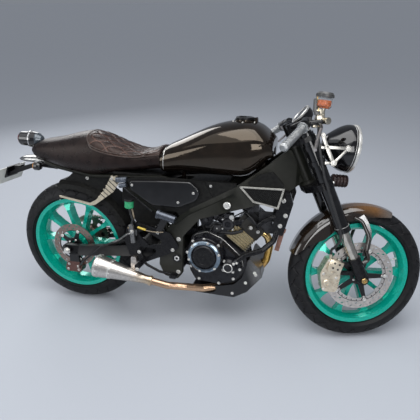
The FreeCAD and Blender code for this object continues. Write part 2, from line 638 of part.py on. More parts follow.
def side_panels():
    """Glossy bowed panels set on the covers under the seat."""
    outline = [(336, 678), (470, 688), (612, 694), (660, 656), (640, 612), (560, 574), (440, 574), (342, 634)]
    inner_face = -FRAME_OUTER + 2 - SEAT_GAP
    plate = side_plate(outline, inner_face - PANEL_DEPTH, inner_face, [12, 60, 22, 24, 30, 60, 60, 30])
    edges = [e for e in plate.Edges if e.BoundBox.YMax < inner_face - PANEL_DEPTH + 0.1]
    return pair(plate.makeFillet(9, edges))


def airbox():
    """The dark box under the seat, and the inlet tract that runs from it to the engine."""
    outline = [(300, 505), (338, 440), (430, 452), (560, 560), (640, 612), (760, 668), (760, 692), (300, 650),
               (268, 630), (262, 560)]
    box = side_plate(outline, -66, 66, [20, 20, 20, 20, 20, 20, 10, 20, 20, 20])
    low, high = Vector(*SHOCK_LOW), Vector(*SHOCK_TOP)
    room = rod(low - shock_axis() * 60, high + shock_axis() * 70, 36)
    tract = tube([Vector(700, 0, 640), Vector(756, 0, 602), Vector(826, 0, 568)], 22, 60)
    return joined(box.cut(room).cut(shock_beam(BEAM_RADIUS + SEAT_GAP)), tract)


def rear_mudguard():
    """An inner guard that follows the rear tyre, with a web up to the seat."""
    inner = REAR_RADIUS + 14
    hoop = turned([(inner - 34, -81), (inner - 12, -78), (inner, -50), (inner, 50), (inner - 12, 78),
                   (inner - 34, 81), (inner - 34, 84.5), (inner - 11, 82), (inner + 4, 53), (inner + 4, -53),
                   (inner - 11, -82), (inner - 34, -84.5)], AXLE_REAR, Y_AXIS, 0, 74, 26)
    x, _, z = SEAT_BEAMS[0]
    line = [(-54, 306), (60, 293), (150, 283), (226, 323), (x + 22, 343)]
    fin = side_plate([(dx, REAR_RADIUS + up) for dx, up in line] + [(x + 22, z + 22), (40, z + 22), (-8, 646)],
                     -FIN_HALF, FIN_HALF, 3)
    room = Part.makeCylinder(inner + 1, 200, AXLE_REAR + Vector(0, -100, 0), Y_AXIS)
    tubes = Part.makeCompound(subframe(SEAT_GAP) + seat_pads(SEAT_GAP))
    return joined(hoop, fin.cut(room).cut(seat_body(SEAT_GAP)).cut(tubes))


def mudguard_stay():
    """A bright stay: a thin rod along the tyre that widens into a ribbed plate, bolted to the seat rail."""
    y = -100.0
    outline = [(-40, 566), (-38, 557), (118, 530), (142, 536), (238, 606), (270, 656), (234, 684), (196, 616),
               (150, 562), (116, 542)]
    plate = side_plate(outline, y, y + 4, [2, 2, 12, 14, 30, 4, 4, 30, 8, 6])
    ribs = []
    for k in range(6):
        t = k / 5
        a = Vector(170 + 74 * t, y, 572 + 86 * t)
        across = Vector(-0.76, 0, 0.65) * (11 + 8 * t)
        ribs.append(rod(a + across, a - across, 1.8))
    x, z = STAY_BOLT
    bolt = Part.makeCylinder(8, 6 - y - STAY_SEAT, Vector(x, y - 6, z), Y_AXIS)
    return joined(plate, *ribs, bolt)


# Engine and its systems


def cylinder_frame():
    """Origin and directions of the cylinder: up its bore, and forward across it."""
    tilt = math.radians(CYLINDER_TILT)
    base = Vector(CYLINDER_BASE[0], 0, CYLINDER_BASE[1])
    return base, Vector(math.sin(tilt), 0, math.cos(tilt)), Vector(math.cos(tilt), 0, -math.sin(tilt))


def bore_block(up_from, up_to, back, front, half):
    """A block square to the cylinder, by heights along its bore and reach behind and ahead."""
    base, up, ahead = cylinder_frame()
    reach = ((up_from, back), (up_from, front), (up_to, front), (up_to, back))
    corners = [base + up * u + ahead * a for u, a in reach]
    return side_plate([(c.x, c.z) for c in corners], -half, half, 8)


def crankcase():
    """The crankcase and gearbox casting, with its lugs, the cylinder's seat and the drive sprocket."""
    outline = [(590, 250), (584, 330), (596, 420), (640, 452), (705, 448), (852, 350), (864, 290), (838, 228),
               (770, CASE_BOTTOM), (620, CASE_BOTTOM)]
    rounds = [20, 20, 30, 20, 20, 20, 30, 30, 30, 30]
    case = side_plate(outline, -CASE_HALF, CASE_HALF - 2, rounds)
    grown = [(728 + (x - 728) * 1.04, 325 + (z - 325) * 1.05) for x, z in outline]
    rib = side_plate(grown, -4, 4, rounds)
    reach = FRAME_OUTER - FRAME_WALL - SEAT_GAP
    lugs = []
    for x, z in ENGINE_BOLTS:
        lugs.append(side_plate([(x - 14, z - 14), (620, z - 22), (620, z + 14), (x - 14, z + 14)], -18, 18, 10))
        lugs.append(rod(Vector(x, -reach, z), Vector(x, reach, z), 10))
    drive = sprocket_blank(FRONT_TEETH, CHAIN_LINE).translated(Vector(DRIVE[0], 0, DRIVE[1]))
    shaft = Part.makeCylinder(19, CHAIN_LINE + 10 - CASE_HALF, Vector(DRIVE[0], CASE_HALF - 4, DRIVE[1]), Y_AXIS)
    return joined(case, rib, *lugs, drive, shaft)


def clutch_cover():
    """The right engine cover: a stepped dome round the clutch, with the water pump ahead of it."""
    seat = -CASE_HALF - SEAT_GAP
    outline = [(600, 290), (594, 380), (616, 432), (672, 450), (740, 424), (830, 346), (842, 300), (812, 246),
               (740, 214), (640, 226)]
    base = side_plate(outline, -112, seat, [30, 40, 30, 40, 40, 20, 25, 30, 40, 40])
    centre = Vector(CLUTCH_AT[0], 0, CLUTCH_AT[1])
    dome = turned([(0, -105), (88, -105), (84, -138), (72, -150), (0, -150)], centre, Y_AXIS, [0, 0, 14, 8, 0])
    ring = turned([(56, -140), (80, -140), (77, -154), (66, -160), (56, -157)], centre)
    cap = turned([(0, -140), (55, -140), (55, -156), (48, CLUTCH_FACE), (0, CLUTCH_FACE)], centre, Y_AXIS,
                 [0, 0, 5, 4, 0])
    pump_at = Vector(PUMP_AT[0], 0, PUMP_AT[1])
    pump = turned([(0, -100), (36, -100), (34, -128), (24, -140), (0, -140)], pump_at, Y_AXIS, [0, 0, 8, 6, 0])
    outlet = rod(Vector(PUMP_AT[0], PUMP_MOUTH[1], PUMP_AT[1]), Vector(*PUMP_MOUTH), 11)
    bosses = []
    for x, z in outline:
        middle = Vector(728 + (x - 728) * 0.93, -116, 325 + (z - 325) * 0.93)
        bosses.append(Part.makeCylinder(8, 34, middle, Y_AXIS))
    return joined(base, dome, ring, cap, pump, outlet, *bosses)


def generator_cover():
    """The left engine cover round the generator, and the cover over the front sprocket."""
    seat = CASE_HALF - 2 + SEAT_GAP
    outline = [(672, 250), (664, 330), (690, 420), (740, 424), (830, 346), (842, 300), (812, 246), (740, 214)]
    base = side_plate(outline, seat, 106, [30, 30, 20, 30, 20, 25, 30, 40])
    centre = Vector(GENERATOR_AT[0], 0, GENERATOR_AT[1] - 18)
    dome = turned([(0, 100), (78, 100), (74, 130), (60, GENERATOR_FACE), (0, GENERATOR_FACE)], centre, Y_AXIS,
                  [0, 0, 12, 10, 0])
    plug = turned([(0, 140), (22, 140), (20, GENERATOR_FACE + 5), (0, GENERATOR_FACE + 5)], centre)
    drive = side_plate([(596, 300), (594, 386), (640, 396), (668, 380), (668, 300), (640, 290)], 98, 118, 16)
    return joined(base, dome, plug, drive)


def cylinder():
    """The finned cylinder, the head with its cover, and the plug cap."""
    half = 58.0
    block = bore_block(8, 84, -52, 50, half)
    fins = [bore_block(14 + 12 * k, 18 + 12 * k, -60, 60, half + 8) for k in range(6)]
    head = bore_block(84, 146, -60, 62, half + 6)
    cover = bore_block(146, 176, -50, 52, half - 4)
    cap = bore_block(176, 186, -30, 34, half - 20)
    base, up, ahead = cylinder_frame()
    plug = rod(base + up * 118 + Vector(0, -64, 0), base + up * 128 + Vector(0, -96, 0), 11)
    housing = side_plate([(p.x, p.z) for p in (base + up * 100 + ahead * -40, base + up * 100 + ahead * 30,
                                               base + up * 160 + ahead * 30, base + up * 160 + ahead * -40)],
                         -half - 22, -half, 14)
    return joined(block, *fins, head, cover, cap, plug, housing)


def belly_guard():
    """The angular guard under and ahead of the crankcase, open at its top, on two bosses."""
    outline = [(598, 184), (618, 150), (806, 146), (866, 182), (934, 268), (926, 300), (872, 350), (868, 336),
               (884, 286), (852, 214), (762, 182), (640, 184)]
    shell = side_plate(outline, -96, 96, [8, 20, 30, 30, 8, 8, 4, 4, 20, 20, 20, 10])
    side = side_plate([(630, 180), (618, 152), (806, 148), (866, 184), (930, 268), (922, 298), (868, 348),
                       (858, 300), (842, 252), (806, 214), (740, 198)], -99, -88,
                      [10, 20, 30, 30, 8, 8, 4, 20, 20, 20, 20])
    tunnel = tube(header_points(), HEADER_RADIUS + 7, HEADER_BEND)
    bosses = both_sides(rod(Vector(700, 40, 176), Vector(700, 40, CASE_BOTTOM - SEAT_GAP), 9))
    return joined(shell, *both_sides(side), *bosses).cut(tunnel)


def header_pipe():
    """The exhaust pipe from the head, round the front of the case and back under its right side."""
    points = header_points()
    pipe = tube(points, HEADER_RADIUS, HEADER_BEND)
    flange = rod(points[0], points[0] + (points[1] - points[0]).normalize() * 7, 27)
    return joined(pipe, flange)


def muffler():
    """A straight megaphone with a rolled end, a bored outlet and its hanger lug."""
    start, end = Vector(*MUFFLER_FROM), Vector(*MUFFLER_TO)
    length = (end - start).Length
    along = (end - start).normalize()
    body = turned([(0, 0), (20, 0), (21, 40), (46, length - 60), (53, length - 14), (53, length - 4),
                   (48, length), (0, length)], start, along, [0, 3, 20, 60, 20, 3, 3, 0])
    outlet = rod(end + along * 1, end - along * OUTLET_DEPTH, OUTLET_RADIUS)
    dish = turned([(0, length - 12), (40, length - 12), (44, length + 1), (0, length + 1)], start, along)
    pipe = rod(end - along * OUTLET_DEPTH, end - along * 2, OUTLET_RADIUS + 2.5)
    collar = turned([(18, 2), (24, 2), (24, 14), (18, 14)], start, along)
    lug_at = start + along * 96
    hanger_face = -FRAME_OUTER - HANGER_THICKNESS - 2 * SEAT_GAP
    lug = side_plate([(lug_at.x - 18, lug_at.z - 8), (lug_at.x + 18, lug_at.z - 8), (lug_at.x + 11, 322),
                      (lug_at.x - 13, 322)], hanger_face - 14, hanger_face, 8)
    return joined(joined(body, collar, lug).cut(dish), pipe).cut(outlet)


def radiator():
    """The upright radiator behind the front wheel: a finned core between two side tanks."""
    front, back = [(1030, 622), (1000, 486)], [(990, 630), (960, 494)]
    core = side_plate([front[0], front[1], back[1], back[0]], -82, 82, 4)
    tanks = [side_plate([(1030, 672), (1046, 622), (1012, 478), (958, 486), (996, 680)], s * 82, s * 104, 8)
             for s in (-1, 1)]
    fan = Part.makeCylinder(56, 24, Vector(982, 0, 556), Vector(-0.979, 0, 0.206))
    upper = tube([Vector(985, -90, 560), Vector(960, -100, 558), Vector(925, -106, 536), Vector(900, -106, 512),
                  Vector(900, -HEAD_SIDE - 16 - SEAT_GAP, 512)], 11, 24)
    mouth = Vector(*PUMP_MOUTH)
    way = (mouth - Vector(PUMP_AT[0], mouth.y, PUMP_AT[1])).normalize()
    lower = tube([Vector(986, -93, 500), Vector(976, -104, 452), Vector(930, -128, 412), mouth + way * 44,
                  mouth + way * SEAT_GAP], 12, 40)
    grooves = []
    for k in range(8):
        t = (k + 0.5) / 8
        a = Vector(front[0][0] + (front[1][0] - front[0][0]) * t, 0, front[0][1] + (front[1][1] - front[0][1]) * t)
        grooves.append(rod(a + Vector(2, -76, 0), a + Vector(2, 76, 0), 4.5))
    return joined(core, *tanks, fan, upper, lower).cut(Part.makeCompound(grooves))


def shrouds():
    """Side scoops ahead of the tank: a framed triangle with a panel above it, one each side."""
    y = -150.0
    outline = [(826, 694), (1010, 698), (990, 614), (884, 634)]
    scoop = side_plate(outline, y, y + 16, [10, 12, 16, 20])
    pocket = side_plate([(850, 684), (998, 688), (982, 626), (892, 642)], y - 1, y + 3, [8, 8, 10, 14])
    upper = side_plate([(848, 700), (1008, 703), (1004, 716), (958, 764), (900, 746)], y + 6, y + 14, 8)
    bridge = side_plate([(880, 690), (1004, 692), (1004, 712), (880, 708)], y + 6, y + 16)
    peg = rod(Vector(1004, y + 10, 660), Vector(1004, -104 - SEAT_GAP, 660), 7)
    return pair(joined(scoop.cut(pocket), upper, bridge, peg))


# Rear end


def tail_lamp():
    """The round stop lamp at the tail's end, on a short stalk."""
    start = Vector(*TAIL_LAMP_AT)
    along = Vector(-1, 0, 0)
    bullet = turned([(0, 0), (16, 4), (31, 26), (36, 52), (36, 58), (39, 58), (39, 68), (35, 70), (34, 112),
                     (26, 122), (0, 126)], start, along, [0, 10, 20, 8, 0, 1, 1, 0, 10, 6, 0])
    stalk = tube([start + along * 48, start + Vector(-50, 0, -44), Vector(-184, 0, 752)], 11, 16)
    return joined(bullet, stalk).cut(seat_body(SEAT_GAP))


def rear_signals():
    """Two small round lamps, each on a stalk from the plate's bracket."""
    y = -62.0
    along = Vector(-1, 0, -0.02).normalize()
    start = Vector(-140, y, 688)
    bulb = turned([(0, 0), (14, 4), (20, 16), (20, 34), (17, 40), (0, 42)], start, along, [0, 6, 8, 2, 3, 0])
    root = start + along * 20
    stalk = rod(root, Vector(root.x, -30 - SEAT_GAP, root.z), 5)
    return pair(joined(bulb, stalk).cut(seat_body(SEAT_GAP)))


def plate_bracket():
    """The bracket under the tail that carries the number plate, its small lamp and a bright cover."""
    top, bottom = plate_side(3, -8), plate_side(3, -26)
    arm = side_plate([(-70, 690), (-190, 697), (-300, 662), top, bottom, (-290, 642), (-190, 678), (-76, 672)],
                     -30, 30, [8, 8, 8, 0, 0, 8, 8, 8])
    pad = plate_slab(0, 5, PLATE_SPACING + 26, -30, 30)
    lamp = Part.makeBox(26, 40, 14, Vector(-322, -20, 656))
    cover = Part.makeLoft([oval(x, half, low, high, 2.2) for x, half, low, high in COVER_ROWS], True, False)
    room = seat_body(SEAT_GAP)
    return joined(arm, pad, lamp, cover.cut(room)).cut(room).cut(Part.makeCompound(subframe(SEAT_GAP)))


def plate_side(ahead, up):
    """A point in side view by its distance ahead of the plate's seat and up along it."""
    a = math.radians(PLATE_TILT)
    centre = Vector(*PLATE_CENTRE)
    return (centre.x + ahead * math.cos(a) + up * math.sin(a), centre.z - ahead * math.sin(a) + up * math.cos(a))


def rear_brake():
    """The rear calliper under the axle, its master cylinder, the green reservoir and the hoses."""
    x, z = AXLE_REAR.x, AXLE_REAR.z
    calliper = side_plate([(x - 52, z - 134), (x + 34, z - 134), (x + 44, z - 86), (x - 40, z - 86)], -98, -56, 12)
    half_gap = DISC_THICKNESS / 2 + CALLIPER_GAP
    gap = Part.makeCylinder(REAR_DISC_RADIUS + 5, 2 * half_gap, Vector(x, REAR_DISC_Y - half_gap, z), Y_AXIS)
    calliper = calliper.cut(gap)
    hanger = side_plate([(x - 20, z - 96), (x + 30, z - 96), (x + 24, z + 12), (x - 22, z + 12)], -99, -92, 8)
    hanger = hanger.cut(Part.makeCylinder(14 + SEAT_GAP, 40, Vector(x, -120, z), Y_AXIS))
    foot_y = -FRAME_OUTER - HANGER_THICKNESS - 2 * SEAT_GAP
    master = rod(Vector(344, foot_y - 15, 478), Vector(350, foot_y - 15, 396), 12)
    clamp = Part.makeBox(40, 10, 26, Vector(326, foot_y - 10, 428))
    bottle = turned([(0, 0), (17, 0), (20, 4), (20, 34), (22, 34), (22, 44), (0, 44)], Vector(336, -153, 557),
                    Vector(0.05, 0, 1))
    feed = tube([Vector(337, -153, 560), Vector(342, -153, 528), Vector(352, -156, 504),
                 Vector(345, foot_y - 15, 477)], 6, 14)
    hose = tube([Vector(348, foot_y - 24, 440), Vector(330, foot_y - 30, 440), Vector(280, -158, 400),
                 Vector(180, -144, z + 41), Vector(80, -142, z - 45), Vector(x + 36, -118, z - 93),
                 Vector(x + 28, -97, z - 107)], 4.5, 40)
    return Part.makeCompound([joined(calliper, hanger, hose, master, clamp, bottle, feed)])


def footrests():
    """Rider's footrest hangers with their pegs, the brake pedal and the gear lever."""
    y = -FRAME_OUTER - SEAT_GAP
    outline = [(560, 392), (520, 452), (380, 486), (316, 470), (300, 392), (330, 300), (390, 292), (470, 330),
               (530, 360)]
    hanger = side_plate(outline, y - 10, y, [14, 20, 30, 20, 20, 16, 16, 30, 8])
    windows = [side_plate([(500, 402), (402, 452), (360, 440), (420, 380)], y - 11, y + 1, 12),
               side_plate([(470, 362), (400, 372), (376, 330), (400, 318)], y - 11, y + 1, 10)]
    windows.append(rod(at_side(PIVOT, -200), at_side(PIVOT, 0), PIVOT_TUBE + 6))
    hanger = hanger.cut(Part.makeCompound(windows))
    peg = joined(rod(Vector(398, y - 9, 312), Vector(398, y - 34, 312), 9),
                 rod(Vector(398, y - 30, 312), Vector(398, y - 104, 316), 12.5))
    grooves = [turned([(11, -1.6), (14, -1.6), (14, 1.6), (11, 1.6)], Vector(398, y - 42 - 9 * k, 312.6))
               for k in range(7)]
    base = joined(hanger, peg).cut(Part.makeCompound(grooves))
    pedal = tube([Vector(376, y - 18, 352), Vector(402, y - 20, 292), Vector(470, y - 26, 266),
                  Vector(540, y - 34, 262)], 6, 30)
    toe = side_plate([(528, 254), (560, 254), (560, 270), (528, 270)], y - 58, y - 28, 6)
    boss = rod(Vector(376, y - 5, 352), Vector(376, y - 26, 352), 12)
    right = joined(base, pedal, toe, boss)
    left_base = base.mirror(Vector(), Y_AXIS)
    lever = tube([Vector(398, -y + 16, 312), Vector(470, -y + 18, 286), Vector(548, -y + 22, 300)], 5, 30)
    rubber = rod(Vector(548, -y + 14, 300), Vector(548, -y + 52, 300), 9)
    left = joined(left_base, lever, rubber)
    return Part.makeCompound([right, left])


# Steered pieces


def triple_clamps():
    """Upper and lower fork clamps on the steering stem, with the handlebar risers."""
    lower = clamp_plate(LOWER_CLAMP[0], LOWER_CLAMP[1], FORK_HALF + 33, LEG_OFFSET + 32)
    upper = clamp_plate(UPPER_CLAMP[0], UPPER_CLAMP[1], FORK_HALF + 33, LEG_OFFSET + 30)
    top = UPPER_CLAMP[1]
    stem = rod(fork_point(LOWER_CLAMP[0], 0, -LEG_OFFSET), fork_point(top + 8, 0, -LEG_OFFSET), STEM_RADIUS)
    nut = rod(fork_point(UPPER_CLAMP[1] - 1, 0, -LEG_OFFSET), fork_point(UPPER_CLAMP[1] + 12, 0, -LEG_OFFSET), 19)
    risers = [rod(fork_point(UPPER_CLAMP[1] - 2, s * RISER_HALF, -LEG_OFFSET + 12),
                  fork_point(RISER_TOP + 14, s * RISER_HALF, -LEG_OFFSET + 12), 17) for s in (-1, 1)]
    holes = [rod(fork_point(300, s * FORK_HALF), fork_point(800, s * FORK_HALF), TUBE_RADIUS + SEAT_GAP)
             for s in (-1, 1)]
    body = joined(lower, upper, stem, nut, *risers)
    return body.cut(Part.makeCompound(holes)).cut(bar_tube(BAR_RADIUS + SEAT_GAP))


def fork_tubes():
    """The upper fork tubes, each with its top cap, seal ring and the headlight bracket's clamps."""
    legs = []
    for s in (-1, 1):
        y = s * FORK_HALF
        body = rod(fork_point(TUBE_FROM, y), fork_point(TUBE_TO, y), TUBE_RADIUS)
        seal = rod(fork_point(TUBE_FROM, y), fork_point(TUBE_FROM + 22, y), TUBE_RADIUS + 2.5)
        cap = rod(fork_point(TUBE_TO, y), fork_point(TUBE_TO + 8, y), TUBE_RADIUS - 7)
        clamps = []
        for z in BRACKET_CLAMPS:
            along = (z - FRONT_RADIUS) / math.cos(RAKE)
            clamps.append(rod(fork_point(along - 9, y), fork_point(along + 9, y), TUBE_RADIUS + CLAMP_WALL))
        bore = rod(fork_point(TUBE_FROM - 1, y), fork_point(TUBE_FROM + 60, y), STANCHION_RADIUS + SEAT_GAP)
        legs.append(joined(body, seal, cap, *clamps).cut(bore))
    return Part.makeCompound(legs)


def stanchions():
    """The bright inner legs between the castings and the outer tubes."""
    low, high = CASTING_TO - 20, TUBE_FROM + 50
    return Part.makeCompound([rod(fork_point(low, y), fork_point(high, y), STANCHION_RADIUS)
                              for y in (-FORK_HALF, FORK_HALF)])


def fork_castings():
    """The leg ends that clamp the front axle, with the calliper ears on the right one."""
    legs = []
    for s in (-1, 1):
        y = s * FORK_HALF
        leg = rod(fork_point(6, y), fork_point(CASTING_TO, y), CASTING_RADIUS)
        foot = Part.makeCylinder(23, 44, AXLE_FRONT + Vector(0, y - 22, 0), Y_AXIS)
        pieces = [leg, foot]
        if s < 0:
            edge = AXLE_FRONT.x - CALLIPER_EDGE + SEAT_GAP
            for along in (30, 74):
                a = fork_point(along, y + 12, -14)
                pieces.append(side_plate([(a.x, a.z - 10), (a.x, a.z + 10), (edge, a.z + 8), (edge, a.z - 8)],
                                         y + 4, y + 18))
        body = joined(*pieces)
        bore = rod(fork_point(CASTING_TO - 21, y), fork_point(CASTING_TO + 5, y), STANCHION_RADIUS + SEAT_GAP)
        legs.append(body.cut(bore))
    axle = rod(AXLE_FRONT + Vector(0, -FORK_HALF - 26, 0), AXLE_FRONT + Vector(0, FORK_HALF + 26, 0), AXLE_RADIUS)
    ends = [Part.makeCylinder(14, 6, AXLE_FRONT + Vector(0, y, 0), Y_AXIS) for y in (-FORK_HALF - 28, FORK_HALF + 22)]
    inner, outer = FRONT_HUB_HALF + 1, FORK_HALF - 20
    spacers = [rod(AXLE_FRONT + Y_AXIS * s * inner, AXLE_FRONT + Y_AXIS * s * outer, 13) for s in (-1, 1)]
    return joined(legs[0], legs[1], axle, *ends, *spacers)


def bar_points():
    """The right half of the handlebar's centre line, from the middle to the grip's end."""
    middle = fork_point(RISER_TOP, 0, -LEG_OFFSET + 12)
    return [middle, middle + Vector(0, -96, 2), Vector(1036, -146, 950), GRIP_IN, GRIP_OUT]


def handlebar():
    """A swept tubular bar in the risers."""
    return bar_tube(BAR_RADIUS)


def grips():
    """Sleeve grips with their flanges and bar-end weights."""
    along = (GRIP_OUT - GRIP_IN).normalize()
    start = GRIP_IN + along * 9
    end = GRIP_OUT
    sleeve = rod(start, end + along * 4, 16)
    flange = rod(start, start + along * 5, 22)
    weight = turned([(0, 0), (17, 0), (17, 22), (12, 30), (0, 30)], end + along * 3, along, [0, 2, 4, 4, 0])
    bore = rod(start - along * 20, end + along * SEAT_GAP, BAR_RADIUS + SEAT_GAP)
    return pair(joined(sleeve, flange, weight).cut(bore))


def controls():
    """Lever perches and levers with the switch blocks beside the grips, and the mirror threads."""
    middle, along = perch_at()
    clamp = rod(middle - along * 22, middle + along * 6, 19)
    switch = rod(GRIP_IN - along * 26, GRIP_IN - along * 6, 21)
    pivot = middle + Vector(44, -4, 4)
    lever = tube([pivot + Vector(0, 8, 0), pivot + Vector(6, -44, -12), pivot + Vector(-30, -120, -66),
                  pivot + Vector(-46, -168, -92)], 5.5, 60)
    mouth, up = mirror_mouth()
    boss = rod(mouth - up * 24, mouth, MIRROR_THREAD + 4)
    thread = rod(mouth - up * MIRROR_DEPTH, mouth + up, MIRROR_THREAD)
    body = joined(clamp, switch, perch(0.0), lever, boss).cut(thread)
    return pair(body.cut(bar_tube(BAR_RADIUS + SEAT_GAP)))


def mirror_mouth():
    """Mouth of the right mirror's thread on the perch, and the direction out of it."""
    middle, _ = perch_at()
    return middle + Vector(14, -1, 24), Vector(0, 0, 1)


def perch_at():
    """Middle of the right perch's clamp, and the handlebar's direction there."""
    return (bar_points()[2] + GRIP_IN) * 0.5, (GRIP_IN - bar_points()[2]).normalize()


def perch(grow):
    """The right perch's arm from its clamp to the master cylinder, grown by a clearance."""
    middle, _ = perch_at()
    return rod(middle + Vector(10, -2, 0), middle + Vector(60, 0, 9), 11 + grow)


def meter():
    """The small round meter on its bracket ahead of the bar."""
    centre = fork_point(700, 0, 44)
    axis = (FORK_UP * 0.8 + FORK_AHEAD * -0.35).normalize()
    body = turned([(0, 0), (36, 0), (44, 16), (46, 34), (44, 40), (0, 40)], centre, axis, [0, 10, 8, 4, 3, 0])
    leg = rod(fork_point(UPPER_CLAMP[1] + SEAT_GAP, 0, -4), centre + axis * 4, 9)
    foot = rod(fork_point(UPPER_CLAMP[1] + SEAT_GAP, 0, -4), fork_point(UPPER_CLAMP[1] + 8, 0, -4), 12)
    above = rod(fork_point(UPPER_CLAMP[1] + SEAT_GAP, 0, 0), fork_point(900, 0, 0), 200)
    return joined(joined(foot, leg).common(above), body)


def brake_reservoir():
    """The front brake's master cylinder with its clear fluid cup and the hose fitting at its end."""
    middle, _ = perch_at()
    base = middle + Vector(66, 4, 12)
    body = rod(base + Vector(-8, 30, 0), base + Vector(14, -26, 0), 12)
    neck = rod(base + Vector(0, 2, 4), base + Vector(-2, 4, 46), 7)
    cup_at = base + Vector(-2, 4, 43)
    cup = turned([(0, 0), (22, 0), (CUP_RADIUS, 8), (CUP_RADIUS, 42), (0, 42)], cup_at, Vector(0.1, 0, 1))
    lid = turned([(0, 42), (CUP_RADIUS + 3, 42), (CUP_RADIUS + 3, 54), (CUP_RADIUS - 2, 60), (0, 60)], cup_at,
                 Vector(0.1, 0, 1))
    start, down = hose_start()
    fitting = rod(start - down * 26, start, 6.5)
    return joined(body, neck, cup, lid, fitting).cut(perch(SEAT_GAP)).cut(controls())


def hose_start():
    """The master cylinder's hose fitting: its mouth and the direction the hose leaves in."""
    middle, _ = perch_at()
    return middle + Vector(60, 34, -8), Vector(0.05, 0, -1).normalize()


def headlight():
    """A bell-shaped headlight: shell, rim and lens."""
    rim = turned([(HEADLIGHT_RADIUS - 3, 2), (HEADLIGHT_RADIUS + 3, 4), (HEADLIGHT_RADIUS + 3, 14),
                  (HEADLIGHT_RADIUS - 3, 16)], HEADLIGHT_AT, lamp_back())
    return joined(headlight_body(0.0), rim)


def headlight_bracket():
    """Polished side plates that hold the headlight ahead of the fork tubes."""
    y = BRACKET_Y
    spine = [(1098, 902), (1120, 906), (1134, 868), (1206, 862), (1224, 850), (1212, 836), (1178, 842), (1174, 806),
             (1168, 780), (1146, 776), (1142, 806), (1124, 850)]
    plate = side_plate(spine, y, y + 8, [5, 5, 8, 6, 6, 6, 8, 12, 6, 6, 12, 8])
    window = side_plate([(1146, 852), (1166, 850), (1160, 826), (1146, 826)], y - 1, y + 9, 5)
    bolt = rod(Vector(1212, y - 5, 849), Vector(1212, -HEADLIGHT_RADIUS + 8, 849), 10)
    low_bolt = Part.makeCylinder(9, 14, Vector(1157, y - 4, 791), Y_AXIS)
    arms = []
    for z in BRACKET_CLAMPS:
        low = fork_point((z - FRONT_RADIUS) / math.cos(RAKE) - 9, -FORK_HALF)
        near = low.x + 12
        for far, depth in ((1150, y + 8), (low.x + 44, -FORK_HALF - 10)):
            arms.append(side_plate([(near, z - 6), (near, z + 6), (far, z + 6), (far, z - 6)], y, depth, 3))
    side = joined(plate.cut(window), bolt, low_bolt, *arms).cut(fork_tubes_grown())
    return pair(side.cut(headlight_body(SEAT_GAP)))


def fork_tubes_grown():
    """The room that both fork tubes and their bracket clamps take, with a clearance."""
    grown = TUBE_RADIUS + CLAMP_WALL + SEAT_GAP
    return Part.makeCompound([rod(fork_point(TUBE_FROM, y), fork_point(TUBE_TO + 8, y), grown)
                              for y in (-FORK_HALF, FORK_HALF)])


def front_fender():
    """A deep front mudguard, its skirts cut to a curve, carried on arms from the fork castings."""
    inner = FRONT_RADIUS + FENDER_GAP
    half = FRONT_TREAD + 11
    wall = FENDER_WALL
    under = [(FENDER_INSIDE, half - wall), (inner - 24, half - wall), (inner - 4, half - 22), (inner, 0)]
    over = [(inner + wall, 0), (inner - 3, half - 17), (inner - 24, half), (FENDER_INSIDE, half)]
    loop = under + [(r, -y) for r, y in reversed(under[:-1])] + [(r, -y) for r, y in reversed(over[1:])] + over
    hoop = turned(loop, AXLE_FRONT, Y_AXIS, [0, 30, 30, 60, 30, 30, 0, 0, 30, 30, 60, 30, 30, 0], 100, 66)
    keep = [around_front(angle, r) for angle, r in FENDER_SKIRT]
    hoop = hoop.common(side_plate(keep, -100, 100, [0, 0, 60, 60, 40, 40, 40, 60, 0, 0, 0, 0]))
    arms = []
    for s in (-1, 1):
        y = s * FORK_HALF
        route = [AXLE_FRONT + Vector(-45, s * 64, 260), AXLE_FRONT + Vector(-13, s * 74, 245),
                 AXLE_FRONT + Vector(17, s * 88, 180), fork_point(112, y, 60), fork_point(64, y, 56),
                 fork_point(64, y, CASTING_RADIUS + SEAT_GAP)]
        arms.append(tube(route, 8, 40))
    return joined(hoop, *arms)


def front_calliper():
    """The front calliper behind the fork leg, straddling the disc, with its hose fitting."""
    x, z = AXLE_FRONT.x, AXLE_FRONT.z
    edge = x - CALLIPER_EDGE
    body = side_plate([(x - 168, z - 60), (x - 104, z - 66), (edge, z - 10), (edge, z + 72), (x - 150, z + 88),
                       (x - 182, z + 20)], FRONT_DISC_Y - 31, FRONT_DISC_Y + 20, [16, 16, 16, 8, 16, 16])
    half_gap = DISC_THICKNESS / 2 + CALLIPER_GAP
    gap = Part.makeCylinder(FRONT_DISC_RADIUS + 5, 2 * half_gap, Vector(x, FRONT_DISC_Y - half_gap, z), Y_AXIS)
    hose_x, hose_y, hose_z = CALLIPER_HOSE
    fitting = rod(Vector(hose_x, hose_y, z + 70), Vector(hose_x, hose_y, hose_z), 7)
    return joined(body, fitting).cut(gap)


def brake_hose():
    """The front brake hose from the master cylinder down the fork to the calliper."""
    start, down = hose_start()
    x, y, z = CALLIPER_HOSE
    route = [start + down * SEAT_GAP, start + down * 44, Vector(1096, -160, 820), Vector(1118, -154, 740),
             Vector(1160, -146, 640), Vector(1204, -138, 540), Vector(1218, -130, 480), Vector(1204, -104, 436),
             Vector(x, y, z + 24), Vector(x, y, z + SEAT_GAP)]
    return tube(route, HOSE_RADIUS, 60)


# Side stand


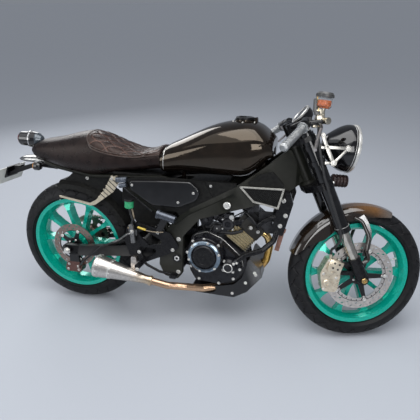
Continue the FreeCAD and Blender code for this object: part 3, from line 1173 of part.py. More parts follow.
def row_placement():
    """The placement that leans the upright machine, pitched so that both tyres meet the floor."""
    lean = FreeCAD.Rotation(Vector(1, 0, 0), -LEAN)
    rear_low = tyre_low(AXLE_REAR, Y_AXIS, REAR_RADIUS, REAR_TREAD, lean)
    pitch = 0.0
    for _ in range(6):
        turn = FreeCAD.Rotation(Y_AXIS, pitch).multiply(lean)
        rear_low = tyre_low(AXLE_REAR, Y_AXIS, REAR_RADIUS, REAR_TREAD, turn)
        front_centre = steered_point(AXLE_FRONT)
        front_axis = steered_point(AXLE_FRONT + Y_AXIS) - front_centre
        front_low = tyre_low(front_centre, front_axis, FRONT_RADIUS, FRONT_TREAD, turn)
        pitch += math.degrees((front_low - rear_low) / WHEELBASE)
    return FreeCAD.Placement(Vector(0, 0, -rear_low), turn)


def tyre_low(centre, axis, radius, tread, turn):
    """Height of a round-profile tyre's lowest point, after a turn of the machine."""
    slope = turn.multVec(axis).z
    return turn.multVec(centre).z - (radius - tread) * math.sqrt(1 - slope * slope) - tread


def steering():
    """The placement that turns the steered pieces from straight ahead to the parked angle."""
    turn = FreeCAD.Rotation(FORK_UP, PARKED_STEER)
    return FreeCAD.Placement(STEER_FOOT - turn.multVec(STEER_FOOT), turn)


def steered_point(point):
    return steering().multVec(point)


def stand_points():
    """The stand's pivot, its foot on the leaned floor, and the direction of its hinge."""
    pivot = Vector(*STAND_PIVOT)
    leaned = row_placement()
    x, y = STAND_FOOT
    low, high = -100.0, 200.0
    for _ in range(50):
        middle = (low + high) / 2
        if leaned.multVec(Vector(x, y, middle)).z > 0:
            high = middle
        else:
            low = middle
    foot = Vector(x, y, low)
    deployed = (foot - pivot).normalize()
    folded = Vector(*STAND_FOLDED).normalize()
    hinge = deployed.cross(folded).normalize()
    travel = math.degrees(math.acos(deployed.dot(folded)))
    return pivot, foot, hinge, travel


def side_stand():
    """The stand's leg, its hinge boss and the foot that lies flat on the floor."""
    pivot, foot, hinge, _ = stand_points()
    down = row_placement().Rotation.inverted().multVec(Vector(0, 0, 1))
    ankle = foot + down * FOOT_THICKNESS
    boss = rod(pivot - hinge * STAND_BOSS, pivot + hinge * STAND_BOSS, 15)
    leg = tube([pivot, pivot + (ankle - pivot) * 0.55 + Vector(0, -4, 6), ankle + down * 4], STAND_RADIUS, 120)
    sole = Part.makeCylinder(24, FOOT_THICKNESS, foot, down)
    solid = joined(boss, leg, sole)
    under = Part.makeBox(400, 400, 100, Vector(-200, -200, -100))
    under.Placement = FreeCAD.Placement(foot, row_placement().Rotation.inverted())
    solid = solid.cut(under)
    return solid.cut(rod(pivot - hinge * 60, pivot + hinge * 60, STAND_PIN + SEAT_GAP))


def stand_hanger():
    """The lug and pin under the left spar that carry the stand."""
    pivot, _, hinge, _ = stand_points()
    inner, outer = STAND_BOSS + SEAT_GAP, STAND_BOSS + 10
    pin = rod(pivot - hinge * 14, pivot + hinge * 12, STAND_PIN)
    head = rod(pivot - hinge * 15, pivot - hinge * inner, 10)
    cheek = rod(pivot + hinge * inner, pivot + hinge * outer, 17)
    web = Part.makeBox(30, 48, outer - inner, Vector(-15, 0, inner))
    web.Placement = FreeCAD.Placement(pivot, FreeCAD.Rotation(Vector(1, 0, 0), Vector(0, 0, 1), hinge, "ZYX"))
    return joined(cheek, pin, head, web)


def shock_axis():
    """Direction from the shock's lower seat to its upper one."""
    return (Vector(*SHOCK_TOP) - Vector(*SHOCK_LOW)).normalize()


def cap_hinge():
    """Middle of the filler lid's hinge pin, ahead of the ring."""
    return Vector(CAP_X + CAP_RADIUS + 11, 0, CAP_TOP + SEAT_GAP + CAP_THICKNESS / 2)


def seat_body(grow):
    """The seat and tail as one lofted form, grown by a clearance."""
    rows = [(x, half + grow, low - grow, high + grow, power) for x, half, low, high, power in SEAT_ROWS]
    rows[0] = (rows[0][0] - grow,) + rows[0][1:]
    return Part.makeLoft([oval(*row) for row in rows], True, False)


def sprocket_blank(teeth, y):
    """A toothed disc: each tooth is a flank up, a tip and a flank down."""
    pitch_radius = CHAIN_PITCH / (2 * math.sin(math.pi / teeth))
    tip = (pitch_radius + SLOT_REACH) * math.cos(math.pi / teeth) - 0.4
    root = pitch_radius - 4.3
    outline = []
    for k in range(teeth):
        for share, r in ((0.00, root), (0.22, root), (0.42, tip), (0.58, tip), (0.78, root)):
            a = 2 * math.pi * (k + share) / teeth
            outline.append((r * math.cos(a), r * math.sin(a)))
    return side_plate(outline, y - SPROCKET_HALF, y + SPROCKET_HALF)


def plate_slab(near, far, width, low, high):
    """A slab square to the number plate, between two distances ahead of its back face."""
    slab = Part.makeBox(far - near, width, high - low, Vector(near, -width / 2, low))
    holes = [Part.makeCylinder(PLATE_HOLE, 30, Vector(-10, s * PLATE_SPACING / 2, 0), Vector(1, 0, 0))
             for s in (-1, 1)]
    slab = slab.cut(Part.makeCompound(holes))
    slab.rotate(Vector(), Y_AXIS, PLATE_TILT)
    return slab.translated(Vector(*PLATE_CENTRE))


def number_plate():
    """The blank plate, bolted to its bracket's pad."""
    return plate_slab(-2 - SEAT_GAP, -SEAT_GAP, 190, -62, 24)


def canister():
    """The small bright cylinder on the right hanger."""
    y = -FRAME_OUTER - HANGER_THICKNESS - 2 * SEAT_GAP
    start, end = at_side(CANISTER_FROM, y - 10), at_side(CANISTER_TO, y - 10)
    way = (end - start).normalize()
    body = joined(rod(start, end, 18), rod(start, start + way * 12, 21))
    middle = (CANISTER_FROM[0] + CANISTER_TO[0]) / 2
    foot = side_plate([(middle - 20, 530), (middle + 12, 522), (474, 445), (450, 450)], y - 4, y, 4)
    return joined(body, foot)


def clamp_plate(low, high, width, rear):
    """A fork clamp square to the steering axis, waisted between the legs and the stem."""
    corners = [(34, width), (-32, width), (-rear, 46), (-rear, -46), (-32, -width), (34, -width), (10, 0)]
    wire = rounded_path([fork_point(low, y, a) for a, y in corners], [26, 26, 24, 24, 26, 26, 60], True)
    return Part.Face(wire).extrude(FORK_UP * (high - low))


def bar_tube(radius):
    """The handlebar's whole run at the given radius."""
    right = bar_points()
    left = [Vector(p.x, -p.y, p.z) for p in right]
    return tube(list(reversed(right)) + left[1:], radius, 45)


def lamp_back():
    """The headlight's axis, pointing back towards the fork."""
    drop = math.radians(HEADLIGHT_DROP)
    return Vector(-math.cos(drop), 0, math.sin(drop))


def headlight_body(grow):
    """The headlight's bell and lens as a revolved form, grown by a clearance."""
    outer = HEADLIGHT_RADIUS + grow
    profile = [(0, -6), (outer - 8, -6), (outer, 0), (outer, 26), (outer - 3, 40), (78 + grow, 84 + grow),
               (50 + grow, 124 + grow), (0, 134 + grow)]
    return turned(profile, HEADLIGHT_AT, lamp_back(), [0, 6, 4, 3, 20, 60, 26, 0])


def horn():
    """The small ribbed horn on its strap under the headlight."""
    at = Vector(*HORN_AT)
    profile = [(0, 0), (22, 0)]
    for k in range(4):
        profile += [(27, 4 + 14 * k), (27, 10 + 14 * k), (23, 11 + 14 * k), (23, 14 + 14 * k)]
    profile += [(27, 60), (24, 66), (0, 68)]
    body = turned(profile, at, Vector(1, 0, -0.05).normalize())
    strap = rod(fork_point(440, -20, 16), at + Vector(6, 0, 0), 5)
    return joined(body, strap).cut(clamp_plate(LOWER_CLAMP[0], LOWER_CLAMP[1], FORK_HALF + 33, LEG_OFFSET + 32))


def shock_beam(radius):
    """The cross beam behind the tank that the shock's upper end seats on."""
    centre = shock_beam_centre()
    return rod(centre + Vector(0, -90, 0), centre + Vector(0, 90, 0), radius)


def shock_beam_centre():
    """Middle of the beam, just past the shock's upper end."""
    return Vector(*SHOCK_TOP) + shock_axis() * (SHOCK_END + BEAM_RADIUS + SEAT_GAP)


def header_points():
    """The exhaust pipe's route, ending in line with the muffler."""
    start = Vector(*MUFFLER_FROM)
    along = (Vector(*MUFFLER_TO) - start).normalize()
    return [Vector(*p) for p in HEADER_ROUTE] + [start - along * 72, start - along * SEAT_GAP]


def around_front(angle, r):
    """A point in side view by its angle and distance from the front axle."""
    a = math.radians(angle)
    return (AXLE_FRONT.x + r * math.cos(a), AXLE_FRONT.z + r * math.sin(a))


def build():
    """Every piece by node name, with the body that it belongs to."""
    cowl, cushion = seat_halves()
    on_frame = {
        "frame": joined(frame(), stand_hanger()), "swinging_arm": swinging_arm(), "shock": shock(), "chain": chain(),
        "fuel_tank": fuel_tank(), "seat_cowl": cowl, "seat_cushion": cushion, "mid_covers": covers(),
        "side_panels": side_panels(), "airbox": airbox(), "rear_mudguard": rear_mudguard(),
        "mudguard_stay": mudguard_stay(), "crankcase": crankcase(), "clutch_cover": clutch_cover(),
        "generator_cover": generator_cover(), "cylinder": cylinder(), "belly_guard": belly_guard(),
        "header_pipe": header_pipe(), "muffler": muffler(), "radiator": radiator(), "shrouds": shrouds(),
        "tail_lamp": tail_lamp(), "rear_signals": rear_signals(), "plate_bracket": plate_bracket(),
        "number_plate": number_plate(), "canister": canister(),
        "rear_brake": rear_brake(), "footrests": footrests(),
    }
    steered = {
        "triple_clamps": triple_clamps(), "fork_tubes": fork_tubes(), "stanchions": stanchions(),
        "fork_castings": fork_castings(), "handlebar": handlebar(), "grips": grips(), "controls": controls(),
        "meter": meter(), "brake_reservoir": brake_reservoir(), "headlight": headlight(),
        "headlight_bracket": headlight_bracket(), "front_fender": front_fender(),
        "front_calliper": front_calliper(), "brake_hose": brake_hose(), "horn": horn(),
    }
    front = {
        "front_tyre": tyre(AXLE_FRONT, FRONT_RADIUS, FRONT_TREAD, FRONT_RIM_HALF),
        "front_rim": wheel(AXLE_FRONT, FRONT_RIM_HALF, FRONT_HUB_HALF, 20),
        "front_disc": brake_disc(AXLE_FRONT, FRONT_DISC_Y, FRONT_DISC_RADIUS, FRONT_HUB_HALF, 20, 5),
    }
    rear = {
        "rear_tyre": tyre(AXLE_REAR, REAR_RADIUS, REAR_TREAD, REAR_RIM_HALF),
        "rear_rim": wheel(AXLE_REAR, REAR_RIM_HALF, REAR_HUB_HALF, 24),
        "rear_disc": brake_disc(AXLE_REAR, REAR_DISC_Y, REAR_DISC_RADIUS, REAR_HUB_HALF, 16, 5),
        "rear_sprocket": rear_sprocket(),
    }
    return {"frame": on_frame, "steering": steered, "front_wheel": front, "rear_wheel": rear,
            "side_stand": {"side_stand": side_stand()}, "fuel_cap": {"fuel_cap": fuel_cap()}}


def placed():
    """Every piece where it stands, with the origin under the middle of the whole machine."""
    leaned = row_placement()
    turned_steering = leaned.multiply(steering())
    groups = build()
    for body, nodes in groups.items():
        placement = turned_steering if body in ("steering", "front_wheel") else leaned
        for name, shape in nodes.items():
            nodes[name] = shape.copy()
            nodes[name].Placement = placement.multiply(shape.Placement)
    box = FreeCAD.BoundBox()
    for nodes in groups.values():
        for shape in nodes.values():
            box.add(shape.optimalBoundingBox(False))
    shift = Vector(-(box.XMin + box.XMax) / 2, -(box.YMin + box.YMax) / 2, -box.ZMin)
    for nodes in groups.values():
        for shape in nodes.values():
            shape.translate(shift)
    return groups, shift


def main():
    groups, shift = placed()
    os.makedirs("parts", exist_ok=True)
    for nodes in groups.values():
        for name, shape in nodes.items():
            shape.exportStep("parts/" + name + ".step")
    print("origin shift", [round(v, 3) for v in shift])
    return groups, shift


GROUPS, SHIFT = main()
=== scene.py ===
"""A cafe racer motorcycle, dressed piece by piece round its fixed frame of solids."""

import math

import bmesh
import bpy
from mathutils import Matrix, Vector
from mathutils.bvhtree import BVHTree
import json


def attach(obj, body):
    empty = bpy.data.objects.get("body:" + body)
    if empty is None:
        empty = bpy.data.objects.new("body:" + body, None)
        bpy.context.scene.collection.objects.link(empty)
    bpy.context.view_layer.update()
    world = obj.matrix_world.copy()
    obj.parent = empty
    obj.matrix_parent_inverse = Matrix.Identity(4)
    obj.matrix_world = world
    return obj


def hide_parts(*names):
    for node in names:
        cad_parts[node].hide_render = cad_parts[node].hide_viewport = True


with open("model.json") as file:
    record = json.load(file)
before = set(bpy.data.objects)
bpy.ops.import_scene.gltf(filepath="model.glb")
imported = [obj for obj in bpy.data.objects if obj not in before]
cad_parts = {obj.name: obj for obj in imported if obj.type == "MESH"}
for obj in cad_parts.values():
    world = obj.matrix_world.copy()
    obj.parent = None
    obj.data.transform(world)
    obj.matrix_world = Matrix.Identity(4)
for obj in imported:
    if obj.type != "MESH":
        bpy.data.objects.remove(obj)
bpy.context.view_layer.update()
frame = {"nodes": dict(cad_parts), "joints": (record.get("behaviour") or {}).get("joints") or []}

# The camera stands ahead of the machine's right side, a little above the tank, and looks down
# at the engine. Its place, angles and focal length come from fitting the wheels to the photograph.

PHOTO = 420
FOCAL = 428.6
PRINCIPAL = (226.5, 218.6)
SENSOR = 36.0
STAND_AT = Vector((0.5143, -1.7551, 1.3855))
YAW = math.radians(-12.855)
PITCH = math.radians(-27.056)
ROLL = math.radians(-0.409)

ahead = Vector((math.sin(YAW) * math.cos(PITCH), math.cos(YAW) * math.cos(PITCH), math.sin(PITCH)))
level = Vector((math.cos(YAW), -math.sin(YAW), 0.0))
above = level.cross(ahead)
right = level * math.cos(ROLL) + above * math.sin(ROLL)
upward = above * math.cos(ROLL) - level * math.sin(ROLL)
lens = bpy.data.cameras.new("camera")
lens.sensor_width = SENSOR
lens.lens = FOCAL / PHOTO * SENSOR
lens.shift_x = (PHOTO / 2 - PRINCIPAL[0]) / PHOTO
lens.shift_y = (PRINCIPAL[1] - PHOTO / 2) / PHOTO
camera = bpy.data.objects.new("camera", lens)
camera.matrix_world = Matrix.Translation(STAND_AT) @ Matrix((right, upward, -ahead)).transposed().to_4x4()
bpy.context.scene.collection.objects.link(camera)
bpy.context.scene.camera = camera

# The studio is a pale floor that runs out past the view, a pale surround, large soft lamps over
# and beside the machine, and a very soft sun that lights the floor evenly into the distance.

FLOOR_HALF = 300.0
FLOOR_COLOUR = (0.42, 0.445, 0.49, 1.0)
SURROUND_COLOUR = (0.212, 0.228, 0.256, 1.0)
SURROUND_LIGHT = 0.95
LAMPS = (("top_lamp", (0.3, -0.5, 3.0), 2.6, 70.0), ("side_lamp", (1.6, -3.2, 1.7), 1.6, 44.0),
         ("back_lamp", (-2.4, 2.4, 2.2), 1.8, 40.0), ("tail_side_lamp", (-2.8, -2.2, 1.5), 1.5, 26.0))
SUN_STRENGTH = 0.9
SUN_ANGLE = math.radians(70.0)
SUN_TURN = (math.radians(20.0), math.radians(-15.0), 0.0)
LAMP_AIM = Vector((0.0, 0.0, 0.5))


def new_material(name):
    """A material with its node tree and shader."""
    material = bpy.data.materials.new(name)
    material.use_nodes = True
    return material, material.node_tree, material.node_tree.nodes["Principled BSDF"]


floor_mesh = bpy.data.meshes.new("floor")
corners = [(-FLOOR_HALF, -FLOOR_HALF, 0), (FLOOR_HALF, -FLOOR_HALF, 0), (FLOOR_HALF, FLOOR_HALF, 0),
           (-FLOOR_HALF, FLOOR_HALF, 0)]
floor_mesh.from_pydata(corners, [], [(0, 1, 2, 3)])
floor = bpy.data.objects.new("floor", floor_mesh)
bpy.context.scene.collection.objects.link(floor)
floor_paint, _, shader = new_material("floor_paint")
shader.inputs["Base Color"].default_value = FLOOR_COLOUR
shader.inputs["Roughness"].default_value = 0.75
floor_mesh.materials.append(floor_paint)

world = bpy.data.worlds.new("surround")
bpy.context.scene.world = world
world.use_nodes = True
nodes, links = world.node_tree.nodes, world.node_tree.links
background = nodes["Background"]
background.inputs["Color"].default_value = SURROUND_COLOUR
path = nodes.new("ShaderNodeLightPath")
seen = path.outputs["Is Camera Ray"]
for ray in ("Is Glossy Ray", "Is Transmission Ray"):
    either = nodes.new("ShaderNodeMath")
    either.operation = "MAXIMUM"
    links.new(seen, either.inputs[0])
    links.new(path.outputs[ray], either.inputs[1])
    seen = either.outputs[0]
strength = nodes.new("ShaderNodeMapRange")
strength.inputs["To Min"].default_value = SURROUND_LIGHT
strength.inputs["To Max"].default_value = 1.0
links.new(seen, strength.inputs["Value"])
links.new(strength.outputs["Result"], background.inputs["Strength"])

for name, place, size, power in LAMPS:
    light = bpy.data.lights.new(name, "AREA")
    light.size = size
    light.energy = power
    lamp = bpy.data.objects.new(name, light)
    lamp.location = place
    lamp.rotation_euler = (LAMP_AIM - Vector(place)).to_track_quat("-Z", "Y").to_euler()
    bpy.context.scene.collection.objects.link(lamp)
sun = bpy.data.lights.new("sun", "SUN")
sun.energy = SUN_STRENGTH
sun.angle = SUN_ANGLE
sun_lamp = bpy.data.objects.new("sun", sun)
sun_lamp.rotation_euler = SUN_TURN
bpy.context.scene.collection.objects.link(sun_lamp)

bpy.context.scene.view_settings.view_transform = "Standard"

# The twin-spar frame and the tubes that carry the seat are welded alloy and steel under one dark
# olive-black satin coat. A bare round cap and the socket screws of the brackets are bright steel.

REAR_RADIUS = 0.307
PARKED_STEER = math.radians(17.5)

hinges = {joint["name"]: joint for joint in frame["joints"]}
side_way = Vector(hinges["rear_wheel"]["axis"])
ahead_way = Vector((-side_way.z, 0.0, side_way.x)).normalized()
if ahead_way.x < 0:
    ahead_way.negate()
up_way = ahead_way.cross(side_way)
upright = Matrix((ahead_way, side_way, up_way)).transposed().to_4x4()
rear_at = Vector(hinges["rear_wheel"]["pos_m"])
FRAME_PLACE = Matrix.Translation(rear_at) @ upright @ Matrix.Translation((0.0, 0.0, -REAR_RADIUS))
head_at = Vector(hinges["steering"]["pos_m"])
steered = Matrix.Rotation(PARKED_STEER, 4, Vector(hinges["steering"]["axis"]))
FORK_PLACE = Matrix.Translation(head_at) @ steered @ Matrix.Translation(-head_at) @ FRAME_PLACE
ON_FRAME = (FRAME_PLACE, "frame")
ON_FORK = (FORK_PLACE, "steering")
TO_RIGHT = (0, -1, 0)


def mix_colours(tree, factor, first, second):
    """The colour that goes from the first to the second with a factor output."""
    mix = tree.nodes.new("ShaderNodeMix")
    mix.data_type = "RGBA"
    for socket, colour in (("A", first), ("B", second)):
        if isinstance(colour, tuple):
            mix.inputs[socket].default_value = (*colour, 1.0)
        else:
            tree.links.new(colour, mix.inputs[socket])
    tree.links.new(factor, mix.inputs["Factor"])
    return mix.outputs["Result"]


def grain(tree, scale, detail=4.0, stretch=(1.0, 1.0, 1.0)):
    """A noise output over the object's own coordinates, stretched along its axes."""
    place = tree.nodes.new("ShaderNodeTexCoord")
    mapping = tree.nodes.new("ShaderNodeMapping")
    mapping.inputs["Scale"].default_value = stretch
    noise = tree.nodes.new("ShaderNodeTexNoise")
    noise.inputs["Scale"].default_value = scale
    noise.inputs["Detail"].default_value = detail
    tree.links.new(place.outputs["Object"], mapping.inputs["Vector"])
    tree.links.new(mapping.outputs["Vector"], noise.inputs["Vector"])
    return noise.outputs["Fac"]


def ranged(tree, source, low, high, start=0.0, end=1.0):
    """The source output, spread from start and end to low and high."""
    spread = tree.nodes.new("ShaderNodeMapRange")
    for socket, value in (("From Min", start), ("From Max", end), ("To Min", low), ("To Max", high)):
        spread.inputs[socket].default_value = value
    tree.links.new(source, spread.inputs["Value"])
    return spread.outputs["Result"]


def raised(tree, shader, height, strength, depth=0.001):
    """Bumps the shader's surface with a height output."""
    relief = tree.nodes.new("ShaderNodeBump")
    relief.inputs["Strength"].default_value = strength
    relief.inputs["Distance"].default_value = depth
    tree.links.new(height, relief.inputs["Height"])
    tree.links.new(relief.outputs["Normal"], shader.inputs["Normal"])


def surface(name, main, other, rough, metal=0.0, scale=60.0, bump=0.0, bump_scale=400.0, coat=0.0,
            stretch=(1.0, 1.0, 1.0), worn=None, shine=0.5, tint=None):
    """A finish whose colour, roughness and height drift with the grain, with an optional worn edge."""
    material, tree, shader = new_material(name)
    drift = grain(tree, scale, 4.0, stretch)
    colour = mix_colours(tree, ranged(tree, drift, 0.0, 1.0, 0.35, 0.65), main, other)
    if worn:
        geometry = tree.nodes.new("ShaderNodeNewGeometry")
        edge = ranged(tree, geometry.outputs["Pointiness"], 0.0, 1.0, 0.53, 0.62)
        colour = mix_colours(tree, edge, colour, worn)
    tree.links.new(colour, shader.inputs["Base Color"])
    tree.links.new(ranged(tree, drift, rough[0], rough[1], 0.3, 0.7), shader.inputs["Roughness"])
    shader.inputs["Metallic"].default_value = metal
    shader.inputs["Coat Weight"].default_value = coat
    shader.inputs["Coat Roughness"].default_value = 0.04
    shader.inputs["Specular IOR Level"].default_value = shine
    # A tint colours the reflections themselves; on the tank it is a painted reflection colour.
    if tint:
        shader.inputs["Specular Tint"].default_value = (*tint, 1.0)
    if bump:
        raised(tree, shader, grain(tree, bump_scale, 6.0, stretch), bump)
    return material


def dress(finish, *nodes):
    """Gives CAD nodes their finish."""
    for node in nodes:
        mesh = frame["nodes"][node].data
        mesh.materials.clear()
        mesh.materials.append(finish)


def new_piece(name, form, place, body, slot, *finishes, flat=35.0):
    """A named object from a bmesh made upright, moved to where it belongs, with its ride; the slot is not
    used.
    """
    mesh = bpy.data.meshes.new(name)
    bmesh.ops.recalc_face_normals(form, faces=form.faces)
    form.to_mesh(mesh)
    form.free()
    mesh.transform(place)
    made = bpy.data.objects.new(name, mesh)
    bpy.context.scene.collection.objects.link(made)
    for finish in finishes:
        mesh.materials.append(finish)
    mesh.shade_smooth()
    mesh.set_sharp_from_angle(angle=math.radians(flat))
    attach(made, body)
    return made


def facing(point, direction):
    """The matrix that carries a form made along y to a point and direction."""
    way = Vector(direction).normalized()
    turn = Vector((0, 1, 0)).rotation_difference(way)
    return Matrix.Translation(Vector(point)) @ turn.to_matrix().to_4x4()


def spokes(count, start=0.0):
    """Directions spaced evenly round the y axis, from a start in degrees, turning from x to z."""
    turns = [math.radians(start) + 2 * math.pi * k / count for k in range(count)]
    return [Vector((math.cos(turn), 0.0, math.sin(turn))) for turn in turns]


def bridge(form, first, second, index=0):
    """Joins two rings of points by a band of faces, or by a fan where one ring is a single point."""
    steps = max(len(first), len(second))
    if steps == 1:
        return
    for k in range(steps):
        near = (k + 1) % steps
        if len(first) == 1:
            ends = (first[0], second[near], second[k])
        elif len(second) == 1:
            ends = (first[k], first[near], second[0])
        else:
            ends = (first[k], first[near], second[near], second[k])
        form.faces.new(ends).material_index = index


def turned(form, profile, steps, move=Matrix(), closed=False, index=0):
    """Adds a solid of revolution about y: profile holds distance from the axis and place along it."""
    rings = []
    for radius, along in profile:
        middle = Vector((0.0, along, 0.0))
        rings.append([form.verts.new(move @ (middle + out * radius))
                      for out in spokes(steps if radius else 1)])
    if closed:
        rings.append(rings[0])
    for first, second in zip(rings, rings[1:]):
        bridge(form, first, second, index)


def screw_heads(name, spots, radius, place, body, slot, finish):
    """Socket screws in one piece: each is a chamfered head with a hexagonal well."""
    form = bmesh.new()
    head = [(radius * 1.35, 0.0), (radius * 1.35, 0.0008), (radius, 0.0009), (radius, radius * 0.75),
            (radius * 0.86, radius * 0.95), (radius * 0.56, radius * 0.95)]
    for point, direction in spots:
        move = facing(point, direction)
        turned(form, head, 18, move)
        turned(form, [(radius * 0.56, radius * 0.95), (radius * 0.5, radius * 0.3), (0, radius * 0.3)], 6,
               move)
    return new_piece(name, form, place, body, slot, finish)


spar_coat = surface("spar_coat", (0.006, 0.0065, 0.005), (0.012, 0.0125, 0.009), (0.32, 0.46), 0.0, 45.0,
                    0.1, 900.0, worn=(0.03, 0.03, 0.026), shine=0.16)
satin_black = surface("satin_black", (0.004, 0.004, 0.005), (0.009, 0.009, 0.01), (0.22, 0.36), 0.0, 80.0,
                      0.08, 700.0, shine=0.24)
bright_steel = surface("bright_steel", (0.62, 0.61, 0.58), (0.8, 0.79, 0.76), (0.26, 0.4), 0.8, 220.0)
dress(spar_coat, "frame")

SPAR_FACE = -0.1325
SPAR_CAP_AT = Vector((0.773, -0.136, 0.603))
spar_cap = bmesh.new()
turned(spar_cap, [(0.0158, 0.0), (0.0158, 0.0014), (0.0138, 0.0022), (0.0132, 0.0016), (0.006, 0.0016),
                  (0.005, 0.0028), (0, 0.0028)], 48, facing(SPAR_CAP_AT, TO_RIGHT))
for out in spokes(6):
    turned(spar_cap, [(0.0024, 0.0), (0.0024, 0.0024), (0.0018, 0.003), (0, 0.003)], 12,
           facing(SPAR_CAP_AT + out * 0.0096, TO_RIGHT))
new_piece("spar_cap", spar_cap, *ON_FRAME, "frame_paint", bright_steel)
screw_heads("spar_screws", [((x, SPAR_FACE, z), TO_RIGHT) for x, z in ((0.556, 0.424), (0.552, 0.262))],
            0.0075, *ON_FRAME, "frame_paint", bright_steel)

# The swinging arm is a boxed steel arm in satin black, with the rear damper under a steel coil.
# The coil is wound from round wire and sits between two cups on the damper's body.

DAMPER_LOW = Vector((0.404, 0.0, 0.396))
DAMPER_TOP = Vector((0.532, 0.0, 0.642))
arm_coat = surface("arm_coat", (0.003, 0.003, 0.0035), (0.007, 0.007, 0.008), (0.28, 0.42), 0.0, 45.0, 0.1,
                   900.0, worn=(0.05, 0.05, 0.05), shine=0.16)
coil_black = surface("coil_black", (0.02, 0.02, 0.022), (0.035, 0.034, 0.036), (0.24, 0.36), 0.2, 60.0,
                     coat=0.3)
dress(arm_coat, "swinging_arm")


def lay_tube(form, route, radius, sides, index):
    """Adds a round tube along a list of near points, with its ends closed."""
    side = None
    rings = []
    for k, point in enumerate(route):
        way = (route[min(k + 1, len(route) - 1)] - route[max(k - 1, 0)]).normalized()
        if side is None:
            side = way.orthogonal().normalized()
        side = (side - way * side.dot(way)).normalized()
        other = way.cross(side)
        rings.append([form.verts.new(point + (side * out.x + other * out.z) * radius)
                      for out in spokes(sides)])
    for first, second in zip(rings, rings[1:]):
        bridge(form, first, second, index)
    for end in (rings[0][::-1], rings[-1]):
        form.faces.new(end).material_index = index


WIRE = 0.0048
COIL_RADIUS = 0.0235
COIL_TURNS = 7
COIL_STEPS = 28 * COIL_TURNS
strut = DAMPER_TOP - DAMPER_LOW
span = strut.length
damper_move = facing(DAMPER_LOW, strut)
damper = bmesh.new()
turned(damper, [(0, -0.01), (0.014, -0.01), (0.02, -0.004), (0.02, 0.008), (0.029, 0.01), (0.029, 0.016),
                (0.021, 0.018), (0.021, span * 0.55), (0.024, span * 0.57), (0.024, span * 0.6),
                (0.009, span * 0.61), (0.009, span - 0.03), (0.021, span - 0.026), (0.028, span - 0.024),
                (0.028, span - 0.014), (0.018, span - 0.004), (0.014, span + 0.01), (0, span + 0.01)], 32,
       damper_move)
coil = []
for k in range(COIL_STEPS + 1):
    share = k / COIL_STEPS
    turn = 2 * math.pi * COIL_TURNS * share
    along = 0.018 + WIRE + (span - 0.044 - 2 * WIRE) * share
    coil.append(damper_move @ Vector((COIL_RADIUS * math.cos(turn), along, COIL_RADIUS * math.sin(turn))))
lay_tube(damper, coil, WIRE, 10, 1)
damper_piece = new_piece("damper", damper, *ON_FRAME, "damper_steel", bright_steel, coil_black)
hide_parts("shock")

# The drive chain is a loop of steel links round two toothed wheels. Its side plates are pinned
# through bushes, and each pin's end shows on both faces of the chain.

LINK = 0.0127
CHAIN_Y = 0.088
CHAIN_HALF = 0.0072
REAR_TEETH = 48
FRONT_TEETH = 14
DRIVE_AT = Vector((0.627, CHAIN_Y, 0.347))
chain_steel = surface("chain_steel", (0.2, 0.19, 0.17), (0.34, 0.31, 0.27), (0.25, 0.42), 1.0, 300.0)
pin_steel = surface("pin_steel", (0.45, 0.43, 0.38), (0.55, 0.52, 0.47), (0.2, 0.3), 1.0, 400.0)
dress(chain_steel, "chain")
rear_round = LINK / (2 * math.sin(math.pi / REAR_TEETH))
drive_round = LINK / (2 * math.sin(math.pi / FRONT_TEETH))
rear_hub = Vector((0.0, CHAIN_Y, REAR_RADIUS))
line = DRIVE_AT - rear_hub
reach = line.length
base_turn = math.atan2(line.z, line.x)
tilt = math.asin((rear_round - drive_round) / reach)
run = math.sqrt(reach ** 2 - (rear_round - drive_round) ** 2)
wrap = math.pi - 2 * tilt
total = 2 * run + drive_round * wrap + rear_round * (2 * math.pi - wrap)
links = 2 * round(total / LINK / 2)


def on_chain(along):
    """The point of the chain's line at a distance along it from the rear wheel's top."""
    top = base_turn + math.pi / 2 - tilt
    if along < run:
        start = rear_hub + Vector((math.cos(top), 0, math.sin(top))) * rear_round
        return start + Vector((math.sin(top), 0, -math.cos(top))) * along
    along -= run
    if along < drive_round * wrap:
        turn = top - along / drive_round
        return DRIVE_AT + Vector((math.cos(turn), 0, math.sin(turn))) * drive_round
    along -= drive_round * wrap
    low = top - wrap
    if along < run:
        start = DRIVE_AT + Vector((math.cos(low), 0, math.sin(low))) * drive_round
        return start + Vector((math.sin(low), 0, -math.cos(low))) * along
    turn = low - (along - run) / rear_round
    return rear_hub + Vector((math.cos(turn), 0, math.sin(turn))) * rear_round


pins = bmesh.new()
for k in range(links):
    middle = on_chain(total * (k + 0.5) / links)
    for side in (-1, 1):
        spot = Vector((middle.x, CHAIN_Y + side * CHAIN_HALF, middle.z))
        turned(pins, [(0.0026, 0.0), (0.0026, 0.0013), (0.0017, 0.0018), (0, 0.0018)], 8,
               facing(spot, (0, side, 0)))
new_piece("chain_pins", pins, *ON_FRAME, "chain_steel", pin_steel)

# The tyres are black rubber with long slanted grooves that are cut across each shoulder, a small
# wear rib, and plain walls that end in a bead line beside the rim.

wall_rubber = surface("tyre_rubber", (0.006, 0.006, 0.007), (0.012, 0.012, 0.013), (0.42, 0.58), 0.0, 60.0,
                      0.2, 900.0, shine=0.2)
TYRE_STEPS = 720
ACROSS = 44
RIM_EDGE = 0.2315
GROOVE_DEEP = 0.0045
RIB_DEEP = 0.0008
REAR_AXLE = Vector((0.0, 0.0, REAR_RADIUS))
FRONT_AXLE = Vector((1.335, 0.0, 0.3))


